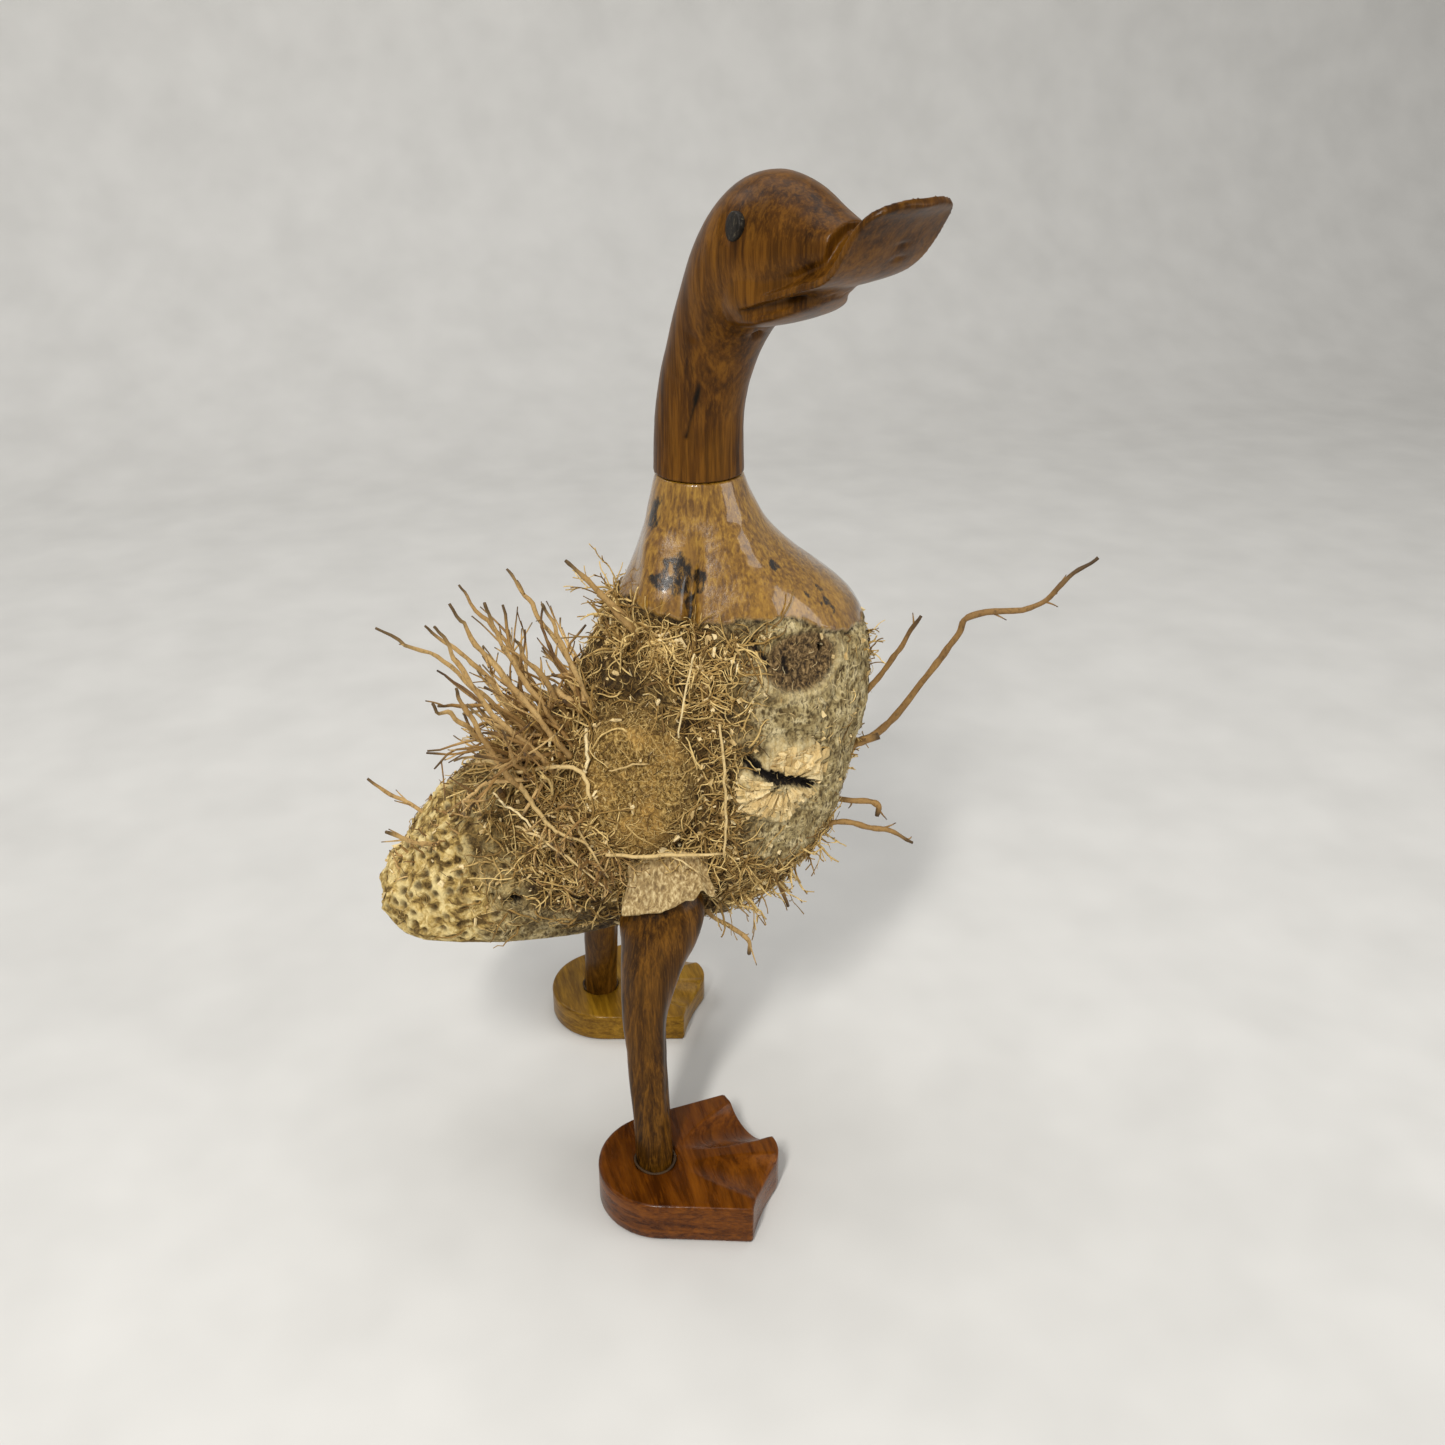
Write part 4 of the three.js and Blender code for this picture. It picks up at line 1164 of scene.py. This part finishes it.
def bush(name, bases, lean, count, length, radius, spread, material, seed, fan=None):
    """A spray of stiff dry rootlets from a patch of skin, leaning one way.

    fan gives the slopes between which its rootlets rise, in degrees."""
    r = np.random.default_rng(seed)
    lean = np.asarray(lean, float)
    paths = []
    for _ in range(count):
        c = np.asarray(bases[int(r.integers(len(bases)))], float) + r.normal(0, 4.5, 3)
        near = SKIN.find_nearest(c.tolist(), 60)
        q, n = np.array(near[0]), np.array(near[1])
        rise = 0.0
        if fan is not None:
            e = math.radians(r.uniform(*fan))
            lean = np.array([-math.cos(e), lean[1], math.sin(e)])
            rise = r.uniform(-0.3, 1.3) * math.cos(e)
        v = unit(unit(lean) + n * 0.35 + r.normal(0, spread, 3))
        size = r.uniform(*length) * (1.0 if r.random() < 0.7 else 0.55)
        m = 13
        bend = r.normal(0, 0.6, 3) + np.array([0, 0, rise])
        pts = [q - n * 1.5]
        for _ in range(m - 1):
            v = unit(v + bend / m + r.normal(0, 0.15, 3))
            pts.append(pts[-1] + v * size / (m - 1))
        thick = r.uniform(*radius)
        rad = thick * np.linspace(1.15, 0.55, m) * (1 + 0.12 * r.normal(size=m))
        pts = np.array(pts)
        if not inside(pts):
            continue
        paths.append((pts, np.abs(rad)))
        for _ in range(int(r.integers(0, 4))):
            k = int(r.integers(4, m - 1))
            d = pts[k + 1] - pts[k]
            d = unit(unit(d) + r.normal(0, 0.4, 3))
            s = np.linspace(0, 1, 5)[:, None]
            paths.append((pts[k] + d * size * r.uniform(0.12, 0.4) * s + r.normal(0, 1, 3) * s**2,
                          np.linspace(rad[k] * 0.75, 0.25, 5)))
    finished(tubes(name, paths, material, 6, seed))


def inside(pts):
    """Whether a strand stays within the room that the CAD part takes."""
    return (pts[:, 0].min() > -100 and pts[:, 0].max() < 200 and pts[:, 2].max() < 300
            and pts[:, 1].min() > -104 and pts[:, 1].max() < 100)


bush("back_spray", [(-29, -10, 206), (-27, -16, 206), (-34, -20, 198), (-38, -22, 194),
                    (-26, -21, 202), (-32, -28, 198), (-42, -16, 196), (-22, -12, 214)],
     (-0.62, -0.2, 0.72), 46, (24, 64), (0.45, 1.0), 0.13, M_ROOT, 201, (12, 82))
bush("back_stubs", [(-29, -10, 206), (-34, -20, 198), (-40, -24, 191), (-26, -21, 203),
                    (-18, -14, 214), (-46, -14, 193)],
     (-0.6, -0.25, 0.7), 18, (9, 20), (1.3, 2.0), 0.25, M_ROOT, 210, (20, 80))
bush("back_spray_fine", [(-29, -10, 206), (-34, -20, 198), (-40, -26, 190), (-26, -24, 202),
                         (-46, -10, 194), (-20, -20, 214)],
     (-0.55, -0.2, 0.75), 90, (10, 34), (0.25, 0.6), 0.34, M_HAIR, 202, (5, 85))
bush("back_spray_left", [(-26, 14, 206), (-34, 20, 198), (-40, 10, 196), (-16, 24, 212)],
     (-0.62, 0.25, 0.72), 30, (20, 52), (0.5, 1.1), 0.14, M_ROOT, 203, (12, 82))
bush("shoulder_tuft", [(6, -14, 252), (3, -10, 250), (9, -22, 250), (0, -16, 244),
                       (4, 4, 252), (6, 16, 250)],
     (-0.6, -0.12, 0.72), 60, (8, 26), (0.2, 0.55), 0.36, M_HAIR, 204)
bush("breast_tufts", [(108, -10, 228), (110, -8, 222), (108, -14, 232), (104, -20, 186),
                      (103, -22, 178), (108, -12, 176), (104, 12, 180)],
     (0.9, -0.2, -0.05), 34, (4, 12), (0.25, 0.6), 0.5, M_HAIR, 205)
bush("belly_tufts", [(60, -34, 132), (72, -32, 136), (84, -26, 146), (50, -36, 132),
                     (66, -20, 122), (40, -36, 128), (60, 30, 130), (78, 24, 140)],
     (0.35, -0.2, -0.8), 90, (6, 20), (0.22, 0.6), 0.5, M_HAIR, 206)
bush("flank_tufts", [(-14, -44, 160), (-20, -44, 166), (-28, -42, 170), (-24, -42, 156),
                     (-8, -46, 158), (-34, -38, 176), (-18, 44, 162), (-30, 40, 170)],
     (-0.15, -0.9, -0.2), 90, (7, 20), (0.3, 0.75), 0.7, M_ROOT, 207)
bush("sheath_edge_hair", [(-2, -47, 162), (6, -49, 164), (14, -50, 164), (22, -50, 163),
                          (30, -49, 160), (36, -48, 158), (-2, 47, 162), (14, 50, 164),
                          (30, 49, 160)],
     (0.1, 0.0, -0.7), 90, (5, 15), (0.2, 0.5), 0.6, M_HAIR, 209)
bush("tail_stubs", [(-78, -18, 166), (-74, -14, 172), (-84, -14, 160), (-66, -20, 178),
                    (-76, 12, 168), (-92, -10, 152)],
     (-0.6, -0.25, 0.4), 26, (3, 11), (0.3, 0.75), 0.4, M_ROOT, 208)


def tufts():
    """Small bursts of stiff hair, each round a root bud."""
    r = np.random.default_rng(57)
    at = [(-24, -40, 160), (-30, -40, 150), (-14, -46, 152), (-6, -45, 144), (-40, -36, 168),
          (-46, -32, 158), (-20, -44, 176), (-30, -34, 190), (16, -48, 226), (30, -50, 232),
          (10, -44, 238), (34, -50, 206), (22, -48, 244), (38, -50, 178), (46, -46, 150),
          (60, -40, 142), (-52, -30, 172), (-10, -46, 168), (28, -52, 168), (4, -40, 246)]
    at += [(x + 3, -y - 2, z + 4) for x, y, z in at]
    paths = []
    for c in at:
        near = SKIN.find_nearest(c, 60)
        q, n = np.array(near[0]), np.array(near[1])
        reach = r.uniform(6, 12)
        for _ in range(int(r.integers(14, 24))):
            d = r.normal(size=3)
            d -= n * (d @ n)
            d = unit(unit(d) + n * r.uniform(0.25, 0.9))
            bend = r.normal(0, 0.5, 3) - n * 0.3
            pts, v = [q + r.normal(0, 0.8, 3) - n * 0.5], d
            for _k in range(5):
                v = unit(v + bend / 6 + r.normal(0, 0.1, 3))
                pts.append(pts[-1] + v * reach * r.uniform(0.12, 0.24))
            paths.append((np.array(pts), r.uniform(0.22, 0.45) * np.linspace(1.2, 0.5, 6)))
    finished(tubes("root_bud_tufts", paths, M_HAIR, 4, 58))


def chips():
    """Crumbs of bark and torn wood caught in the hair."""
    r = np.random.default_rng(71)
    p, n = scatter(900,
                   lambda c: hairiness(c) + 0.15 * (c[:, 2] < 250) * above_saw(c), r)
    cube = np.array([(x, y, z) for x in (-1, 1) for y in (-1, 1) for z in (-1, 1)], float)
    quads = [(0, 1, 3, 2), (4, 6, 7, 5), (0, 4, 5, 1), (2, 3, 7, 6), (0, 2, 6, 4), (1, 5, 7, 3)]
    v, f, tint = [], [], []
    for i in range(len(p)):
        m = np.linalg.qr(r.normal(size=(3, 3)))[0]
        size = np.array([r.uniform(0.5, 1.7), r.uniform(0.3, 0.9), r.uniform(0.15, 0.5)])
        w = (cube + r.normal(0, 0.28, cube.shape)) * size @ m.T
        v.append(w + p[i] + n[i] * r.uniform(0, 0.9))
        f += [tuple(8 * i + k for k in q) for q in quads]
        tint += [r.random()] * 8
    o = new_object("bark_crumbs", np.vstack(v), f, M_STRAW, shade=False)
    attribute(o, "tint", tint)
    finished(o)


tufts()
chips()


def splinters():
    """Torn flakes of the bud scar, splayed outwards from its cavity."""
    r = np.random.default_rng(33)
    v, f, tint = [], [], []
    for i in range(170):
        a = 2 * np.pi * i * 0.381966
        tier = 2 if i < 60 else 1 if i < 120 else 0
        reach0 = (12.5, 8.5, 4.5)[tier] + r.normal(0, 0.8)
        size = r.uniform(4, 8)
        wide = r.uniform(0.6, 1.5) * (2.0 if math.sin(a + 0.5) > 0.3 else 0.9)
        side = np.array([-math.sin(a), 0, math.cos(a)])
        out = np.array([math.cos(a), 0, math.sin(a) * 0.9]) + side * r.normal(0, 0.12)
        at = np.array([62 + 2.5 * math.cos(a), -60, 188])
        grid = []
        for s in np.linspace(0, 1, 5):
            for w in (-1, 0, 1):
                q = at + out * (reach0 + size * s) + side * w * wide * (0.35 + 0.65 * s)
                q = q + (r.normal(0, 0.25, 3) if s == 1 else 0)
                hit = SKIN.ray_cast(q.tolist(), (0, 1, 0))
                if hit[0] is None:
                    break
                lift = 0.15 + 0.35 * tier + 0.9 * r.random() * s**2 + (0.25 if w == 0 else 0)
                grid.append(np.array(hit[0]) + np.array([0, -1.0, 0]) * lift)
        g = np.array(grid)
        if len(g) < 15 or g[-1, 1] > -34 or near_line(g[:, ::2], CAVITY[:, ::2]).min() < 2.0:
            continue
        base = sum(len(x) for x in v)
        v.append(np.vstack([g, g + np.array([0, 0.3, 0])]))
        for k in range(4):
            for w in range(2):
                p0 = base + 3 * k + w
                f.append((p0, p0 + 1, p0 + 4, p0 + 3))
                f.append((p0 + 18, p0 + 19, p0 + 16, p0 + 15))
        rim = [0, 1, 2, 5, 8, 11, 14, 13, 12, 9, 6, 3]
        for x, y in zip(rim, rim[1:] + rim[:1]):
            f.append((base + y, base + x, base + x + 15, base + y + 15))
        tint += [0.1 + 0.75 * r.random()] * 30
    o = new_object("bud_scar_flakes", np.vstack(v), f, M_STRAW, shade=False)
    attribute(o, "tint", tint)
    finished(o)


splinters()


# ---------------------------------------------------------------- sheath scales
def sheaths():
    rows, cols = 34, 60
    for side, word in SIDES:
        k = np.arange(cols + 1) * 0.5
        tear = 3.4 * noise(np.stack([k, 0 * k + side * 9.0, 0 * k], -1), 7, 7) \
            + noise(np.stack([k, 0 * k + side * 5.0, 0 * k + 4], -1), 1.7, 8)
        sheets = []
        for off in (0.0, 1.1):
            g = np.zeros((rows + 1, cols + 1, 3))
            for i in range(rows + 1):
                s = i / rows
                for j in range(cols + 1):
                    q = 2 * j / cols - 1
                    reach = 15.5 + 3.5 * s + 0.5 * math.sin(9 * s)
                    x = 14 + reach * q - 3 * s
                    top_z = 162 - 2.5 * q * q - 1.5 * q
                    low_z = 140 + 3.0 * (q + 1) + 0.6 * tear[j] \
                        + 5 * math.exp(-(((q - 0.7) / 0.12) ** 2))
                    z = top_z + (low_z - top_z) * s
                    y = 44.8 + 12.0 * s ** 1.4 - 0.008 * (x - 16) ** 2 + off
                    y += 1.8 * s ** 4 * max(q, 0) ** 2
                    y += 0.5 * math.sin(q * 9 + s * 3) * s
                    g[i, j] = (x, side * y, z)
            flat = g.reshape(-1, 3)
            flat[:, 1] += side * (0.35 * noise(flat, 4, 11) + 0.18 * noise(flat, 1.5, 12))
            sheets.append(flat)
        v = np.vstack(sheets)
        n = (rows + 1) * (cols + 1)
        w = cols + 1
        f = []
        for i in range(rows):
            for j in range(cols):
                a, b, c, d = i * w + j, i * w + j + 1, (i + 1) * w + j + 1, (i + 1) * w + j
                f += [(a, b, c, d), (d + n, c + n, b + n, a + n)]
        rim = list(range(w)) + [i * w + cols for i in range(1, rows + 1)] \
            + [rows * w + j for j in range(cols - 1, -1, -1)] \
            + [i * w for i in range(rows - 1, 0, -1)]
        for a, b in zip(rim, rim[1:] + rim[:1]):
            f.append((b, a, a + n, b + n))
        if side > 0:
            f = [q[::-1] for q in f]
        o = new_object("papery_sheath_" + word, v, f, M_SHEATH)
        finished(o, ["sheath_scale_" + word])


sheaths()

# ---------------------------------------------------------------- legs and feet
LEG = [
    [1.0, 0, 13, 9.5], [0.96, 0, 16.5, 12], [0.9, -1, 17.8, 12.8], [0.83, -2, 16, 12.8],
    [0.75, -4.5, 13.4, 12.2], [0.66, -6.5, 11, 10.8], [0.56, -7.2, 9.2, 9.4],
    [0.44, -5.9, 8.4, 8.6], [0.28, -3.8, 8.2, 8.3], [0.12, -1.6, 8, 8], [0.0, 0, 8, 8],
]
SEAT = 9.0  # depth of the shank in the foot


def legs():
    for side, word in SIDES:
        foot = np.array([0, side * STANCE, FOOT_THICK[word] - SEAT])
        top = np.array([13, side * 40.0, 141])
        rings = []
        for s, dx, a, b in smooth_rows(LEG, 9):
            c = foot + (top - foot) * s + np.array([dx, 0, 0])
            rings.append(oval(c, (1, 0, 0), (0, 1, 0), a, b, 64, 2.1))
        v, f = skin(rings)
        # knife facets and a slight waver
        axis = foot + (top - foot) * np.clip((v[:, 2:3] - foot[2]) / (top[2] - foot[2]), 0, 1)
        out = v - axis
        out[:, 2] = 0
        ang = np.arctan2(out[:, 1], out[:, 0])
        k = 0.22 * np.cos(9 * ang + v[:, 2] * 0.03) + 0.3 * noise(v, 14, 3 + side) \
            + 0.12 * noise(v, 5, 9)
        out /= np.linalg.norm(out, axis=1)[:, None] + 1e-9
        v = v + out * k[:, None]
        o = new_object("leg_carving_" + word, v, f, M_LEG)
        finished(o, ["leg_" + word])


def foot_outline(phi):
    """Distance from the ankle to the foot's edge, in the direction phi."""
    pts = []
    for a in np.linspace(math.radians(102), math.radians(258), 60):
        pts.append((4 + 29 * math.cos(a), 29 * math.sin(a)))

    def curve(a, b, c, n=16):
        return [((1 - t) ** 2 * a[0] + 2 * t * (1 - t) * b[0] + t * t * c[0],
                 (1 - t) ** 2 * a[1] + 2 * t * (1 - t) * b[1] + t * t * c[1])
                for t in np.linspace(0, 1, n)]

    pts += curve((-1.9, -28.4), (17.5, -32.4), (37, -36.5), 12)
    pts += curve((37, -36.5), (42, -22), (53, -8))
    pts += curve((53, -8), (57, 0), (53, 8), 8)
    pts += curve((53, 8), (42, 22), (37, 36.5))
    pts += curve((37, 36.5), (17.5, 32.4), (-1.9, 28.4), 12)
    p = np.array(pts)
    a = np.unwrap(np.arctan2(p[:, 1], p[:, 0]))
    d = np.hypot(p[:, 0], p[:, 1])
    order = np.argsort(a)
    a, d = a[order], d[order]
    x = np.mod(phi - a[0], 2 * np.pi) + a[0]
    return np.interp(x, np.append(a, a[0] + 2 * np.pi), np.append(d, d[0]))


def feet():
    n = 320
    phi = np.linspace(0, 2 * np.pi, n, endpoint=False)
    for side, word, turn in ((-1, "right", -5), (1, "left", -2)):
        thick = FOOT_THICK[word]
        far = foot_outline(phi)

        def top_at(x, y):
            """Hollow webs: a gouge runs forward and down on each side of the middle toe."""
            z = np.full_like(x, thick)
            for k, deep, wide in ((-1, 3.0, 46), (1, 9.5, 19)) if side < 0 \
                    else ((-1, 4.5, 26), (1, 4.5, 26)):
                along = np.clip((x - 13) / 36, 0, 1.25)
                across = np.clip(np.abs(y - k * (7 + 14 * along)) / wide, 0, 0.98)
                floor_z = thick - deep * along ** 1.25
                z = np.minimum(z, floor_z + wide * (1 - np.sqrt(1 - across**2))
                               + 6 * np.clip((14 - x) / 4, 0, 1))
            return z

        rings = []
        bevel = 1.3

        def ring(r_in, z):
            x, y = r_in * np.cos(phi), r_in * np.sin(phi)
            zz = z(x, y) if callable(z) else np.full_like(x, z)
            rings.append(np.stack([x, y, zz], -1))

        # underside, from the screw's sink outwards
        for r_, z_ in ((2.0, 3.4), (4.3, 3.2), (4.6, 0.4), (5.0, 0.0)):
            ring(np.full(n, r_), z_)
        for s in (0.35, 0.7):
            ring(5 + (far - bevel - 5) * s, 0.0)
        ring(far - bevel, 0.0)
        ring(far - 0.35, 0.4)
        ring(far, 1.2)
        low = 1.2
        for s in (0.25, 0.5, 0.75):
            ring(far, lambda x, y, s=s: low + (top_at(x, y) - bevel - low) * s)
        for inset, drop in ((0, 1), (0.12, 0.62), (0.4, 0.28), (0.8, 0.08)):
            ring(far - inset, lambda x, y, k=drop: top_at(x, y) - bevel * k)
        ring(far - bevel, top_at)
        for s in np.linspace(1, 0, 26)[1:-1]:
            ring(9.6 + (far - bevel - 9.6) * s, top_at)
        wob = 0.25 * np.cos(3 * phi + 1) + 0.15 * np.cos(7 * phi)
        for r_, deep in ((9.4, 0.1), (9.0, 0.9), (8.8, 2.6)):
            ring(r_ + wob, lambda x, y, k=deep: top_at(x, y) - k)
        ring(np.full(n, 6.0), thick - 3)
        v, f = skin(rings)
        v[:, 2] += 0.12 * noise(v, 8, 4) * (v[:, 2] > 4)
        a = math.radians(turn)
        x = v[:, 0] * math.cos(a) - v[:, 1] * math.sin(a)
        y = v[:, 0] * math.sin(a) + v[:, 1] * math.cos(a)
        v = np.stack([x, y + side * STANCE, v[:, 2]], -1)
        o = new_object("foot_carving_" + word, v, f, M_FOOT_R if side < 0 else M_FOOT_L)
        finished(o, ["foot_" + word])
        # a bead of glue round the ankle
        w = np.linspace(0, 2 * np.pi, 49)[:-1]
        r = np.random.default_rng(9 + side)
        pts = [[(8.7 + 0.3 * math.sin(3 * b)) * math.cos(b),
                side * STANCE + (8.7 + 0.3 * math.sin(3 * b)) * math.sin(b),
                thick - 0.5 + 0.25 * r.random()] for b in w]
        pts.append(pts[0])
        finished(tubes("ankle_glue_" + word, [(pts, np.full(len(pts), 0.55)
                                              + 0.2 * r.random(len(pts)))], M_HAIR_DARK, 8, 3, 0.05))


legs()
feet()

for node, mat in (("neck_dowel", M_PEG), ("thigh_dowel_right", M_PEG),
                  ("thigh_dowel_left", M_PEG), ("foot_screw_right", M_STEEL),
                  ("foot_screw_left", M_STEEL)):
    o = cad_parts[node]
    o.data.materials.clear()
    o.data.materials.append(mat)
